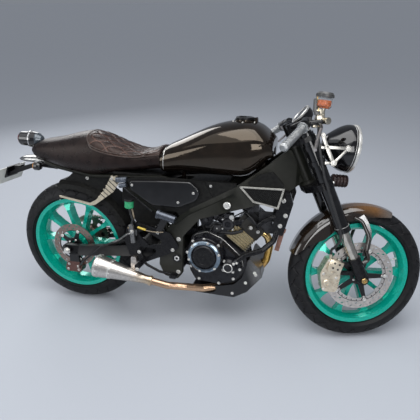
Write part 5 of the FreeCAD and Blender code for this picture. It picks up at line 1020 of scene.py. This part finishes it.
turned(starter, [(0, 0), (0.02, 0), (0.026, 0.004), (0.031, 0.006), (0.031, 0.022), (0.0295, 0.024),
                 (0.0295, 0.088), (0.031, 0.09), (0.031, 0.112), (0.027, 0.117), (0.012, 0.119),
                 (0.01, 0.124), (0, 0.124)], 40, facing((0.664, 0.05, 0.505), TO_RIGHT))
slab(starter, (0.664, -0.03, 0.47), (0.04, 0.05, 0.02), bevel=0.003)
slab(starter, (0.93, -0.052, 0.515), (0.062, 0.008, 0.1), bevel=0.002)
slab(starter, (0.862, -0.045, 0.583), (0.072, 0.036, 0.044), bevel=0.004)
for k in range(5):
    slab(starter, (0.84 + 0.011 * k, -0.0645, 0.583), (0.004, 0.005, 0.036), bevel=0.001)
new_piece("starter_and_coil", starter, *ON_FRAME, "case_alloy", case_paint)
throttle_screws = bmesh.new()
for x, y, z in ((0.744, -0.084, 0.52), (0.79, -0.084, 0.52), (0.744, -0.084, 0.476), (0.79, -0.084, 0.476),
                (0.717, -0.0755, 0.471)):
    turned(throttle_screws, [(0.0045, -0.012), (0.0045, 0.0), (0.0036, 0.0016), (0.002, 0.0016),
                             (0, 0.001)], 12, facing((x, y, z), TO_RIGHT))
turned(throttle_screws, [(0.012, 0), (0.012, 0.004), (0.0105, 0.006), (0.004, 0.006), (0, 0.005)], 20,
       facing(THROTTLE_AT + Vector((0.016, -0.044, 0.034)), TO_RIGHT))
new_piece("throttle_screws", throttle_screws, *ON_FRAME, "case_alloy", bright_steel)
hose_black = surface("hose_black", (0.008, 0.008, 0.009), (0.016, 0.016, 0.017), (0.3, 0.44), 0.0, 200.0,
                     shine=0.4)
HOSES = (
    ("breather_hose", 0.0085,
     (0.655, -0.05, 0.44), (0.64, -0.06, 0.49), (0.665, -0.062, 0.54), (0.72, -0.05, 0.566)),
    ("coolant_hose", 0.0075,
     (0.715, -0.062, 0.438), (0.73, -0.08, 0.462), (0.79, -0.086, 0.455), (0.835, -0.08, 0.475)),
    ("wiring_loom", 0.0105,
     (0.77, -0.082, 0.566), (0.82, -0.09, 0.592), (0.875, -0.094, 0.604), (0.93, -0.092, 0.63)),
    ("plug_lead", 0.0042,
     (0.905, -0.094, 0.492), (0.9, -0.12, 0.53), (0.85, -0.1, 0.567), (0.8, -0.05, 0.6)),
    ("throttle_cable", 0.0032,
     (0.79, -0.06, 0.53), (0.83, -0.085, 0.56), (0.89, -0.088, 0.6), (0.93, -0.07, 0.65)),
    ("sensor_wire", 0.0026,
     (0.69, -0.11, 0.455), (0.7, -0.1, 0.49), (0.735, -0.09, 0.54), (0.8, -0.08, 0.58)))
for name, radius, *points in HOSES:
    hose(name, points, radius, *ON_FRAME, "case_alloy", hose_black)
head_bolts = from_right(engine_skin, (0.872, 0.498), (0.9, 0.47), (0.91, 0.53), (0.94, 0.5))
screw_heads("head_screws", head_bolts, 0.006, *ON_FRAME, "cylinder_alloy", bright_steel)

# The belly guard is smooth satin plastic, paler where it turns up in front, and pierced by small
# white-edged vents. The header pipe is heat-tinted steel, and the muffler is brushed.

guard_finish = bands_along("guard_finish", FRAME_PLACE, (1, 0, 0.35), (0.0, DARK, 0.3, 0.0),
                           (0.985, (0.15, 0.15, 0.15), 0.28, 0.6), soft=0.028)
dress(guard_finish, "belly_guard")
vents = bmesh.new()
for spot, out in from_right(engine_skin, (0.9, 0.285), (0.86, 0.23)):
    turned(vents, [(0.0075, 0.0), (0.0075, 0.0012), (0.0052, 0.0016), (0.005, 0.0002), (0, 0.0002)], 24,
           facing(spot, out))
new_piece("guard_vents", vents, *ON_FRAME, "belly_plastic", plate_pale)
guard_bolt_spots = from_right(engine_skin, (0.705, 0.165), (0.8, 0.168), (0.905, 0.275), (0.64, 0.178))
guard_bolt_spots += from_left(engine_skin, (0.705, 0.165), (0.8, 0.168), (0.64, 0.178))
screw_heads("guard_bolts", guard_bolt_spots, 0.0055, *ON_FRAME, "belly_plastic", bright_steel)
header_tint = bands_along("header_tint", FRAME_PLACE, (0, 0, 1), (0.0, (0.6, 0.4, 0.25), 0.26, 0.9),
                          (0.2, (0.44, 0.29, 0.2), 0.24, 0.9), (0.28, (0.6, 0.37, 0.1), 0.2, 0.9),
                          (0.38, (0.68, 0.48, 0.2), 0.22, 0.9), soft=0.03)
dress(header_tint, "header_pipe")
brushed = bands_along("brushed", FRAME_PLACE, (1, 0, 0), (0.0, (0.56, 0.53, 0.5), 0.3, 0.95),
                      (0.385, (0.6, 0.46, 0.31), 0.28, 0.95), soft=0.05, bump=0.06)
dress(brushed, "muffler")
MUFFLER_FROM = Vector((0.4397, -0.1721, 0.2191))
MUFFLER_TO = Vector((0.17, -0.1873, 0.2736))
muffler_way = MUFFLER_TO - MUFFLER_FROM
muffler_skin = skin(FRAME_PLACE, "muffler")
across = muffler_way.normalized().cross(Vector((0, 1, 0))).normalized()
over = muffler_way.normalized().cross(across)
rivets = bmesh.new()
for share in (0.71, 0.93):
    centre = MUFFLER_FROM + muffler_way * share
    for turn in spokes(12):
        out = across * turn.x + over * turn.z
        hit = met(muffler_skin, centre + out * 0.2, -out)
        if hit:
            turned(rivets, [(0.0034, 0.0), (0.003, 0.0012), (0.0018, 0.002), (0, 0.0023)], 12,
                   facing(hit[0], out))
new_piece("muffler_rivets", rivets, *ON_FRAME, "muffler_steel", bright_steel)
muffler_bands = bmesh.new()
for share in (0.735, 0.96):
    centre = MUFFLER_FROM + muffler_way * share
    hit = met(muffler_skin, centre + Vector((0, -0.2, 0)), (0, 1, 0))
    radius = (hit[0] - centre).cross(muffler_way.normalized()).length
    turned(muffler_bands, [(radius - 0.0004, -0.004), (radius + 0.001, -0.0032), (radius + 0.001, 0.0032),
                           (radius - 0.0004, 0.004)], 72, facing(centre, muffler_way), closed=True)
new_piece("muffler_bands", muffler_bands, *ON_FRAME, "muffler_steel", bright_steel)

# The radiator is a dark alloy core between two tanks, its face filled with thin upright fins. The
# scoops ahead of the tank have a pale beaded frame round a dark net.

dress(satin_black, "radiator")
dress(matte_plastic, "shrouds")
FINS = 64
CORE_WIDE = 0.157
fins = bmesh.new()
CORE_FRONT = (Vector((1.03, 0.0, 0.622)), Vector((1.0, 0.0, 0.486)))
CORE_BACK = (Vector((0.99, 0.0, 0.63)), Vector((0.96, 0.0, 0.494)))
for face, out in ((CORE_FRONT, 0.0006), (CORE_BACK, -0.0006)):
    rise = face[0] - face[1]
    lean = Matrix.Rotation(math.atan2(rise.x, rise.z), 4, "Y")
    move = Matrix.Translation((face[0] + face[1]) / 2) @ lean
    for k in range(FINS):
        y = CORE_WIDE * (k / (FINS - 1) - 0.5)
        slab(fins, (out, y, 0.0), (0.0016, 0.0007, rise.length * 0.96), move)
fin_alloy = surface("fin_alloy", (0.1, 0.1, 0.1), (0.18, 0.18, 0.18), (0.3, 0.45), 0.9, 90.0)
new_piece("radiator_fins", fins, *ON_FRAME, "radiator_alloy", fin_alloy)
radiator_skin = skin(FRAME_PLACE, "radiator")
radiator_spots = from_right(radiator_skin, (1.018, 0.571), (0.998, 0.523), (0.968, 0.539), (1.006, 0.636))
screw_heads("radiator_bolts", radiator_spots, 0.007, *ON_FRAME, "radiator_alloy", bright_steel)
flap = bmesh.new()
hang = Matrix.Translation((1.0, -0.09, 0.455)) @ Matrix.Rotation(math.radians(12), 4, "Y")
slab(flap, (0, 0, 0), (0.02, 0.004, 0.108), hang, bevel=0.0015)
slab(flap, (0, 0, 0.046), (0.028, 0.01, 0.02), hang, bevel=0.003)
flap_brown = surface("flap_brown", (0.16, 0.075, 0.055), (0.24, 0.12, 0.09), (0.3, 0.45), 0.2, 90.0)
new_piece("radiator_flap", flap, *ON_FRAME, "radiator_alloy", flap_brown)
SCOOP = ((826, 694), (1010, 698), (990, 614), (884, 634))
POCKET = ((0.852, 0.682), (0.996, 0.686), (0.98, 0.628), (0.894, 0.643))
BEAD_PITCH = 0.0062
BEAD_FACE = 0.1502
NET_PITCH = 0.0085
scoop_pale = surface("scoop_pale", (0.36, 0.35, 0.32), (0.48, 0.47, 0.43), (0.3, 0.44), 0.6, 90.0, 0.3,
                     700.0)
net_black = surface("net_black", (0.014, 0.014, 0.014), (0.024, 0.024, 0.024), (0.4, 0.5), 0.6, 90.0)


def bar(form, start, end, y, thick, wide, longer=0.0, bevel=0.0):
    """Adds a flat bar between two points given by x and z, at a place y across the machine."""
    span = Vector((end[0] - start[0], 0.0, end[1] - start[1]))
    middle = Vector(((start[0] + end[0]) / 2, y, (start[1] + end[1]) / 2))
    move = Matrix.Translation(middle) @ Matrix.Rotation(math.atan2(-span.z, span.x), 4, "Y")
    slab(form, (0, 0, 0), (span.length + longer, thick, wide), move, bevel=bevel)


def in_pocket(x, z):
    """Whether a point given by x and z lies in the scoop's opening."""
    for (ax, az), (bx, bz) in zip(POCKET, POCKET[1:] + POCKET[:1]):
        if (bx - ax) * (z - az) - (bz - az) * (x - ax) > 0:
            return False
    return True


for side, name in ((-1, "right"), (1, "left")):
    beads = bmesh.new()
    line = around(SCOOP, 0.955, (935, 661))
    for here, after in zip(line, line[1:] + line[:1]):
        count = int(math.hypot(after[0] - here[0], after[1] - here[1]) / BEAD_PITCH)
        start = Vector((here[0], side * BEAD_FACE, here[1]))
        end = Vector((after[0], side * BEAD_FACE, after[1]))
        for k in range(count):
            spot = start.lerp(end, (k + 0.5) / count)
            turned(beads, [(0.0027, 0.0), (0.0022, 0.0014), (0, 0.0021)], 8, facing(spot, (0, side, 0)))
        bar(beads, here, after, side * BEAD_FACE, 0.0012, 0.0076, longer=0.006, bevel=0.0005)
    new_piece("scoop_beads_" + name, beads, *ON_FRAME, "shroud_plastic", scoop_pale)
    net = bmesh.new()
    for slant in (-1, 1):
        for k in range(-14, 15):
            wire = []
            for j in range(60):
                x = 0.845 + 0.155 * j / 59
                z = 0.655 + slant * (x - 0.92) + k * NET_PITCH
                if in_pocket(x, z):
                    wire.append((x, z))
            if len(wire) > 1:
                bar(net, wire[0], wire[-1], side * 0.1482, 0.0012, 0.0011)
    new_piece("scoop_net_" + name, net, *ON_FRAME, "shroud_plastic", net_black)

# The fork has gloss black outer tubes over pale polished inner legs. Its clamps are satin black
# alloy, and bright screws pinch them round the tubes.

CASTER = math.radians(25.5)
FORK_UP = Vector((-math.sin(CASTER), 0.0, math.cos(CASTER)))
FORK_AHEAD = Vector((math.cos(CASTER), 0.0, math.sin(CASTER)))
FORK_HALF = 0.098
champagne = surface("champagne", (0.56, 0.52, 0.46), (0.68, 0.64, 0.57), (0.1, 0.18), 1.0, 40.0)
polished = surface("polished", (0.4, 0.39, 0.36), (0.52, 0.5, 0.46), (0.26, 0.36), 1.0, 60.0)
dress(satin_black, "triple_clamps", "fork_castings", "handlebar")
dress(gloss_black, "fork_tubes")
# The front fender is dark brown-black. The amber band over its top is a painted highlight, and the grey
# band over its front end is a painted glint.
fender_dark_painted_glints = banded("fender_dark_painted_glints", FORK_PLACE, in_bands(along_way, (0.25, 0, 0.968),
                                                           (0.0, (0.014, 0.009, 0.006), 0.1, 0.0),
                                                           (0.912, (0.2, 0.09, 0.022), 0.1, 0.0))
                      + in_bands(along_way, (1, 0, 0), (1.412, (0.09, 0.075, 0.065), 0.1, 0.0)), soft=0.03,
                      coat=0.7)
dress(fender_dark_painted_glints, "front_fender")
dress(champagne, "stanchions")
STRAP = ((1.317, -0.066, 0.566), (1.338, -0.072, 0.536), (1.35, -0.08, 0.505), (1.353, -0.0865, 0.47),
         (1.348, -0.09, 0.435), (1.338, -0.092, 0.398))
strap = bmesh.new()
rows = []
for k, spot in enumerate(STRAP):
    before, after = Vector(STRAP[max(0, k - 1)]), Vector(STRAP[min(len(STRAP) - 1, k + 1)])
    way = (after - before).normalized()
    wide = way.cross(Vector((0, 1, 0))).normalized() * (0.0135 - 0.0006 * k)
    thick = way.cross(wide).normalized() * 0.0014
    corners = ((-1, -1), (1, -1), (1, 1), (-1, 1))
    rows.append([strap.verts.new(Vector(spot) + wide * a + thick * b) for a, b in corners])
for first, second in zip(rows, rows[1:]):
    bridge(strap, first, second)
strap.faces.new(rows[0])
strap.faces.new(rows[-1])
strap_grey = bands_along("strap_grey", FORK_PLACE, (0, 0, 1), (0.0, (0.03, 0.03, 0.032), 0.24, 0.4),
                         (0.49, (0.3, 0.3, 0.3), 0.22, 0.8), soft=0.03)
new_piece("mudguard_strap", strap, *ON_FORK, "fender_black", strap_grey)


def fork_point(along, y=0.0, fore=0.0):
    """A point by its height along the fork from the front axle, its side and how far ahead it lies."""
    return FRONT_AXLE + FORK_UP * along + Vector((0.0, y, 0.0)) + FORK_AHEAD * fore


fork_skin = skin(FORK_PLACE, "triple_clamps", "fork_tubes", "fork_castings")
pinch = []
for along in (0.444, 0.646):
    for side in (-1, 1):
        hit = met(fork_skin, fork_point(along, side * 0.118, 0.2), -FORK_AHEAD)
        if hit:
            pinch.append((hit[0], FORK_AHEAD))
screw_heads("pinch_screws", pinch, 0.0055, *ON_FORK, "clamp_alloy", bright_steel)
caps = bmesh.new()
for side in (-1, 1):
    move = facing(fork_point(0.676, side * FORK_HALF), FORK_UP)
    turned(caps, [(0.0215, -0.0002), (0.0215, 0.001), (0.0205, 0.002), (0.012, 0.002)], 48, move)
    turned(caps, [(0.0125, 0.0018), (0.0125, 0.0075), (0.0115, 0.0085), (0.005, 0.0085), (0.005, 0.005),
                  (0, 0.005)], 6, move)
    turned(caps, [(0.0005, -0.001), (0.0315, 0.0), (0.0315, 0.0015), (0.0005, 0.0015)], 48,
           facing(fork_point(0.2515, side * FORK_HALF), FORK_UP))
new_piece("fork_caps", caps, *ON_FORK, "fork_black", bright_steel)
brass = surface("brass", (0.5, 0.34, 0.14), (0.62, 0.44, 0.2), (0.2, 0.32), 1.0, 80.0)
nuts = bmesh.new()
for side in (-1, 1):
    spot = FRONT_AXLE + Vector((0, side * (FORK_HALF + 0.028), 0))
    turned(nuts, [(0.0135, -0.0002), (0.0135, 0.0065), (0.012, 0.008), (0.0055, 0.008), (0.005, 0.005),
                  (0, 0.005)], 6, facing(spot, (0, side, 0)))
new_piece("front_axle_nuts", nuts, *ON_FORK, "casting_black", brass)

# The controls are satin black perches with silver levers. The grips are knurled bare alloy, and the
# round meter has a black dial with plain marks and a needle under its glass.

LEVER = (0.46, 0.42, 0.4)
dress(bands_along("control_parts", FORK_PLACE, (0, 0, 1), (0.0, LEVER, 0.28, 1.0), (0.925, DARK, 0.3, 0.0),
                  soft=0.001), "controls")


def knurled(name, main, other):
    """Bare alloy with fine crossed knurling."""
    material, tree, shader = new_material(name)
    drift = grain(tree, 80.0)
    colour = mix_colours(tree, ranged(tree, drift, 0.0, 1.0, 0.35, 0.65), main, other)
    tree.links.new(colour, shader.inputs["Base Color"])
    shader.inputs["Metallic"].default_value = 1.0
    shader.inputs["Roughness"].default_value = 0.3
    where = tree.nodes.new("ShaderNodeTexCoord")
    total = None
    for way in ("X", "Z"):
        wave = tree.nodes.new("ShaderNodeTexWave")
        wave.bands_direction = way
        wave.inputs["Scale"].default_value = 110.0
        tree.links.new(where.outputs["Object"], wave.inputs["Vector"])
        if total is None:
            total = wave.outputs["Fac"]
        else:
            join = tree.nodes.new("ShaderNodeMath")
            join.operation = "MULTIPLY"
            tree.links.new(total, join.inputs[0])
            tree.links.new(wave.outputs["Fac"], join.inputs[1])
            total = join.outputs[0]
    raised(tree, shader, total, 0.8, 0.0015)
    return material


grip_knurl = knurled("grip_knurl", (0.42, 0.43, 0.43), (0.58, 0.59, 0.59))
dress(grip_knurl, "grips")

METER_AT = fork_point(0.7, 0.0, 0.044)
METER_WAY = (FORK_UP * 0.8 - FORK_AHEAD * 0.35).normalized()
glass, tree, shader = new_material("meter_glass")
shader.inputs["Transmission Weight"].default_value = 1.0
shader.inputs["Roughness"].default_value = 0.02
tree.links.new(ranged(tree, grain(tree, 20.0), 1.44, 1.46), shader.inputs["IOR"])
dial_black = surface("dial_black", (0.01, 0.01, 0.011), (0.016, 0.016, 0.017), (0.4, 0.5), 0.0, 60.0)
dress(gloss_black, "meter")
meter_ring = bmesh.new()
move = facing(METER_AT, METER_WAY)
turned(meter_ring, [(0.0462, 0.036), (0.0468, 0.037), (0.0468, 0.0425), (0.045, 0.0445), (0.0415, 0.0445),
                     (0.0405, 0.0405)], 72, move)
new_piece("meter_ring", meter_ring, *ON_FORK, "meter_black", bright_steel)
dial = bmesh.new()
turned(dial, [(0.0406, 0.0401), (0.0406, 0.0404), (0, 0.0404)], 64, move)
for k in range(25):
    turn = math.radians(-210 + 10 * k)
    long = 0.006 if k % 3 == 0 else 0.0035
    tick = move @ Matrix.Rotation(-turn, 4, "Y") @ Matrix.Translation((0.0355 - long / 2, 0.0406, 0.0))
    slab(dial, (0, 0, 0), (long, 0.0003, 0.0009), tick, index=1)
needle = move @ Matrix.Rotation(math.radians(215), 4, "Y") @ Matrix.Translation((0.012, 0.0412, 0.0))
slab(dial, (0, 0, 0), (0.034, 0.0005, 0.0012), needle, index=1)
turned(dial, [(0.004, 0.0404), (0.004, 0.0416), (0, 0.0418)], 24, move)
new_piece("meter_dial", dial, *ON_FORK, "meter_black", dial_black, plate_pale)
pane = bmesh.new()
turned(pane, [(0, 0.0425), (0.0408, 0.0419), (0.0408, 0.0428), (0, 0.0436)], 64, move)
new_piece("meter_pane", pane, *ON_FORK, "meter_black", glass)

# The brake's master cylinder is gold-tinted alloy under a clear cup, half full of amber fluid,
# with a grey screwed lid. The cup is one wall, and the fluid in it is a solid of its own.

GRIP_IN = Vector((1.012, -0.206, 0.928))
BAR_KNEE = Vector((1.036, -0.146, 0.95))
CUP_WAY = Vector((0.1, 0.0, 1.0)).normalized()
perch = (GRIP_IN + BAR_KNEE) * 0.5
base = perch + Vector((0.066, 0.004, 0.012))
cup_at = base + Vector((-0.002, 0.004, 0.043))
cup_clear, tree, shader = new_material("cup_clear")
shader.inputs["Transmission Weight"].default_value = 0.96
shader.inputs["IOR"].default_value = 1.12
tree.links.new(mix_colours(tree, grain(tree, 60.0), (0.82, 0.84, 0.84), (0.94, 0.95, 0.95)),
               shader.inputs["Base Color"])
shader.inputs["Roughness"].default_value = 0.06
amber = surface("amber_fluid", (0.5, 0.085, 0.001), (0.62, 0.12, 0.004), (0.2, 0.3), 0.0, 30.0, shine=0.2)
master_gold = surface("master_gold", (0.46, 0.42, 0.34), (0.6, 0.55, 0.45), (0.2, 0.32), 1.0, 80.0, 0.1)
lid_grey = surface("lid_grey", (0.05, 0.05, 0.05), (0.09, 0.09, 0.09), (0.3, 0.42), 0.3, 80.0)
cup = bmesh.new()
move = facing(cup_at, CUP_WAY)
turned(cup, [(0, 0), (0.021, 0), (0.03, 0.009), (0.03, 0.042), (0.0275, 0.042), (0.0275, 0.0105),
             (0.0198, 0.0022), (0, 0.0022)], 64, move)
turned(cup, [(0, 0.0026), (0.0192, 0.0026), (0.027, 0.011), (0.027, 0.031), (0, 0.031)], 64, move, index=1)
turned(cup, [(0, 0.0424), (0.033, 0.0424), (0.033, 0.053), (0.031, 0.0555), (0.028, 0.06), (0.024, 0.0605),
             (0.023, 0.059), (0, 0.059)], 64, move, index=2)
for k in range(24):
    grip = move @ Matrix.Rotation(2 * math.pi * k / 24, 4, "Y") @ Matrix.Translation((0.0332, 0.048, 0.0))
    slab(cup, (0, 0, 0), (0.0012, 0.009, 0.0028), grip, index=2, bevel=0.0005)
move = facing(base + Vector((-0.008, 0.03, 0)), Vector((0.022, -0.056, 0)))
turned(cup, [(0, 0), (0.0105, 0), (0.012, 0.0015), (0.012, 0.02), (0.0128, 0.021), (0.0128, 0.024),
             (0.012, 0.025), (0.012, 0.052), (0.0132, 0.053), (0.0132, 0.0595), (0.012, 0.0602),
             (0, 0.0602)], 48, move, index=3)
move = facing(base + Vector((0, 0.002, 0.004)), Vector((-0.002, 0.002, 0.042)))
turned(cup, [(0, 0.006), (0.0085, 0.006), (0.0085, 0.012), (0.007, 0.013), (0.007, 0.034), (0.009, 0.035),
             (0.009, 0.0384), (0, 0.0384)], 32, move, index=3)
for way, size, index, bevel in (((-0.006, 0.006, -0.001), (0.016, 0.02, 0.018), 3, 0.003),
                                ((-0.021, 0.004, 0.036), (0.003, 0.02, 0.068), 4, 0.0008),
                                ((-0.011, 0.004, 0.003), (0.024, 0.02, 0.003), 4, 0.0008),
                                ((-0.012, 0.0, 0.012), (0.03, 0.026, 0.02), 3, 0.004),
                                ((-0.03, 0.004, -0.012), (0.02, 0.03, 0.03), 3, 0.004),
                                ((-0.027, 0.004, 0.084), (0.003, 0.014, 0.03), 4, 0.0008)):
    slab(cup, base + Vector(way), size, index=index, bevel=bevel)
for centre, size, index in (((1.059, -0.165, 1.006), (0.014, 0.018, 0.05), 2),
                            ((1.066, -0.172, 0.978), (0.02, 0.02, 0.016), 2),
                            ((1.076, -0.168, 0.984), (0.03, 0.018, 0.02), 3)):
    slab(cup, centre, size, index=index, bevel=0.003)
turned(cup, [(0, 0), (0.009, 0), (0.0105, 0.0015), (0.0105, 0.016), (0.006, 0.018), (0, 0.018)], 24,
       facing((1.073, -0.150, 0.960), TO_RIGHT), index=3)
turned(cup, [(0, 0), (0.0065, 0), (0.0065, 0.014), (0, 0.016)], 6, facing((1.100, -0.168, 1.010), TO_RIGHT),
       index=4)
hose_mouth = perch + Vector((0.06, 0.034, -0.008))
hose_way = Vector((0.05, 0.0, -1.0)).normalized()
turned(cup, [(0, 0), (0.0065, 0), (0.0065, 0.02), (0.0085, 0.021), (0.0085, 0.026), (0, 0.026)], 6,
       facing(hose_mouth, -hose_way), index=4)
reservoir = new_piece("fluid_reservoir", cup, *ON_FORK, "reservoir_clear", cup_clear, amber, lid_grey,
                      master_gold, brass)
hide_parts("brake_reservoir")

# The headlight is a deep black bell with a silver ring, a bright-edged lens, and behind the lens a
# polished bowl with its bulb. Its side plates are polished, and the horn is ribbed and dark red.

LAMP_AT = Vector((1.276, 0.0, 0.84))
LAMP_DROP = math.radians(7.0)
LAMP_BACK = Vector((-math.cos(LAMP_DROP), 0.0, math.sin(LAMP_DROP)))
reflector = surface("reflector", (0.7, 0.7, 0.7), (0.8, 0.8, 0.8), (0.05, 0.1), 1.0, 40.0)
lens_clear, tree, shader = new_material("lens_clear")
shader.inputs["Transmission Weight"].default_value = 1.0
shader.inputs["Roughness"].default_value = 0.03
tree.links.new(mix_colours(tree, grain(tree, 40.0), (0.9, 0.93, 0.95), (0.97, 0.98, 0.98)),
               shader.inputs["Base Color"])
BELL_CURVE = ((0.099, 0.026), (0.101, 0.058), (0.068, 0.094), (0.046, 0.121))
bell = bmesh.new()
move = facing(LAMP_AT, LAMP_BACK)
outside = [(0.0955, 0.002), (0.099, 0.003), (0.099, 0.026)]
for k in range(13):
    t = k / 12
    shares = ((1 - t) ** 3, 3 * (1 - t) ** 2 * t, 3 * (1 - t) * t ** 2, t ** 3)
    outside.append([sum(share * place[axis] for share, place in zip(shares, BELL_CURVE))
                    for axis in (0, 1)])
outside += [(0.038, 0.129), (0.022, 0.133), (0, 0.134)]
turned(bell, outside, 128, move)
turned(bell, [(0, 0.1), (0.03, 0.094), (0.058, 0.074), (0.08, 0.044), (0.092, 0.014), (0.0945, 0.002)], 96,
       move, index=1)
turned(bell, [(0.0945, 0.002), (0.0955, 0.002)], 96, move)
turned(bell, [(0.0985, 0.0035), (0.102, 0.0045), (0.1024, 0.009), (0.102, 0.0135), (0.0985, 0.0145)], 128,
       move, index=2)
turned(bell, [(0.0985, 0.0185), (0.0998, 0.0188), (0.0998, 0.0208), (0.0985, 0.0211)], 128, move, index=2)
turned(bell, [(0.091, 0.0005), (0.0955, -0.0015), (0.0985, 0.001), (0.0985, 0.0035)], 128, move, index=2)
turned(bell, [(0.0925, 0.001), (0.08, -0.0035), (0.05, -0.0052), (0, -0.006), (0, -0.003), (0.05, -0.0022),
              (0.08, -0.0005), (0.0925, 0.004)], 96, move, index=3)
turned(bell, [(0, 0.03), (0.012, 0.034), (0.014, 0.05), (0.012, 0.09), (0, 0.096)], 32, move, index=2)
lamp_piece = new_piece("headlight_bell", bell, *ON_FORK, "headlight_black", gloss_black, reflector,
                       bright_steel, lens_clear)
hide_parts("headlight")

BRACKET_Y = 0.131
BRACKET_TOP = (1.107, 0.898)
BRACKET_RING = (1.212, 0.849)
BRACKET_FOOT = (1.157, 0.791)
BRACKET_ARM = (1.126, 0.852)
truss = bmesh.new()
for side in (-1, 1):
    for start, end, wide in ((BRACKET_TOP, BRACKET_ARM, 0.015), (BRACKET_ARM, BRACKET_FOOT, 0.016),
                             (BRACKET_ARM, BRACKET_RING, 0.013), (BRACKET_FOOT, BRACKET_RING, 0.011)):
        bar(truss, start, end, side * BRACKET_Y, 0.0075, wide, longer=0.004, bevel=0.0016)
    for (x, z), radius in ((BRACKET_TOP, 0.0095), (BRACKET_RING, 0.0125), (BRACKET_FOOT, 0.013),
                           (BRACKET_ARM, 0.0095)):
        move = facing((x, side * (BRACKET_Y - 0.0045), z), (0, side, 0))
        turned(truss, [(0, 0), (radius, 0), (radius, 0.0085), (radius - 0.001, 0.0095),
                       (radius - 0.003, 0.0095), (radius - 0.0042, 0.0075), (0, 0.0075)], 32, move)
    for (x, z), reach in ((BRACKET_RING, 0.0915), (BRACKET_FOOT, 0.108)):
        turned(truss, [(0, 0), (0.0085, 0), (0.0085, BRACKET_Y - reach), (0, BRACKET_Y - reach)], 24,
               facing((x, side * BRACKET_Y, z), (0, -side, 0)))
    for z in (0.85, 0.79):
        near = (FRONT_AXLE + FORK_UP * ((z - FRONT_AXLE.z) / math.cos(CASTER))).x + 0.026
        far = 1.132 if z > 0.8 else 1.15
        slab(truss, ((near + far) / 2, side * 0.1255, z), (far - near, 0.009, 0.011), bevel=0.0014)
        slab(truss, (near + 0.002, side * 0.118, z), (0.012, 0.024, 0.013), bevel=0.0014)
bracket_piece = new_piece("lamp_bracket", truss, *ON_FORK, "bracket_polished", polished)
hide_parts("headlight_bracket")
bracket_spots = []
for x, z in (BRACKET_RING, BRACKET_FOOT, BRACKET_TOP):
    for side in (-1, 1):
        bracket_spots.append((Vector((x, side * (BRACKET_Y + 0.003), z)), (0, side, 0)))
screw_heads("bracket_screws", bracket_spots, 0.0062, *ON_FORK, "bracket_polished", bright_steel)
horn_finish = surface("horn_finish", (0.02, 0.012, 0.012), (0.04, 0.022, 0.02), (0.25, 0.36), 0.2, 60.0)
dress(horn_finish, "horn")

# The front calliper is champagne gold cast alloy, with two pistons, socket bolts and a bored holder
# plate on its outer face. The hose to it is black rubber.

calliper_gold = surface("calliper_gold", (0.62, 0.53, 0.4), (0.74, 0.66, 0.53), (0.24, 0.36), 0.85, 70.0,
                        0.15, 700.0)
hose_rubber = surface("hose_rubber", (0.014, 0.014, 0.015), (0.024, 0.024, 0.025), (0.35, 0.5), 0.0, 200.0)
dress(calliper_gold, "front_calliper")
dress(hose_rubber, "brake_hose")
calliper_skin = skin(FORK_PLACE, "front_calliper")
pistons = bmesh.new()
for spot, out in from_right(calliper_skin, (1.185, 0.275), (1.2, 0.333)):
    turned(pistons, [(0.0175, -0.0005), (0.0175, 0.0026), (0.0155, 0.0038), (0.0085, 0.0038),
                     (0.008, 0.0022), (0, 0.0022)], 40, facing(spot, out))
new_piece("calliper_pistons", pistons, *ON_FORK, "calliper_gold", calliper_gold)
calliper_spots = from_right(calliper_skin, (1.168, 0.318), (1.172, 0.25), (1.224, 0.3), (1.222, 0.362),
                            (1.19, 0.376))
screw_heads("calliper_screws", calliper_spots, 0.0046, *ON_FORK, "calliper_gold", bright_steel)
carrier_face = from_right(calliper_skin, (1.205, 0.35))[0][0].y
holder = bmesh.new()
lean = Matrix.Rotation(math.radians(18), 4, "Y")
move = Matrix.Translation((1.216, carrier_face - 0.003, 0.354)) @ lean
slab(holder, (0, 0, 0), (0.062, 0.008, 0.046), move, bevel=0.002)
for x, z in ((-0.008, -0.011), (-0.008, 0.011), (0.014, -0.011), (0.014, 0.011)):
    turned(holder, [(0, 0.0), (0.0046, 0.0), (0.0046, 0.0008), (0, 0.0008)], 20,
           move @ facing((x, -0.004, z), TO_RIGHT), index=1)
new_piece("calliper_holder", holder, *ON_FORK, "calliper_gold", calliper_gold, hose_rubber)
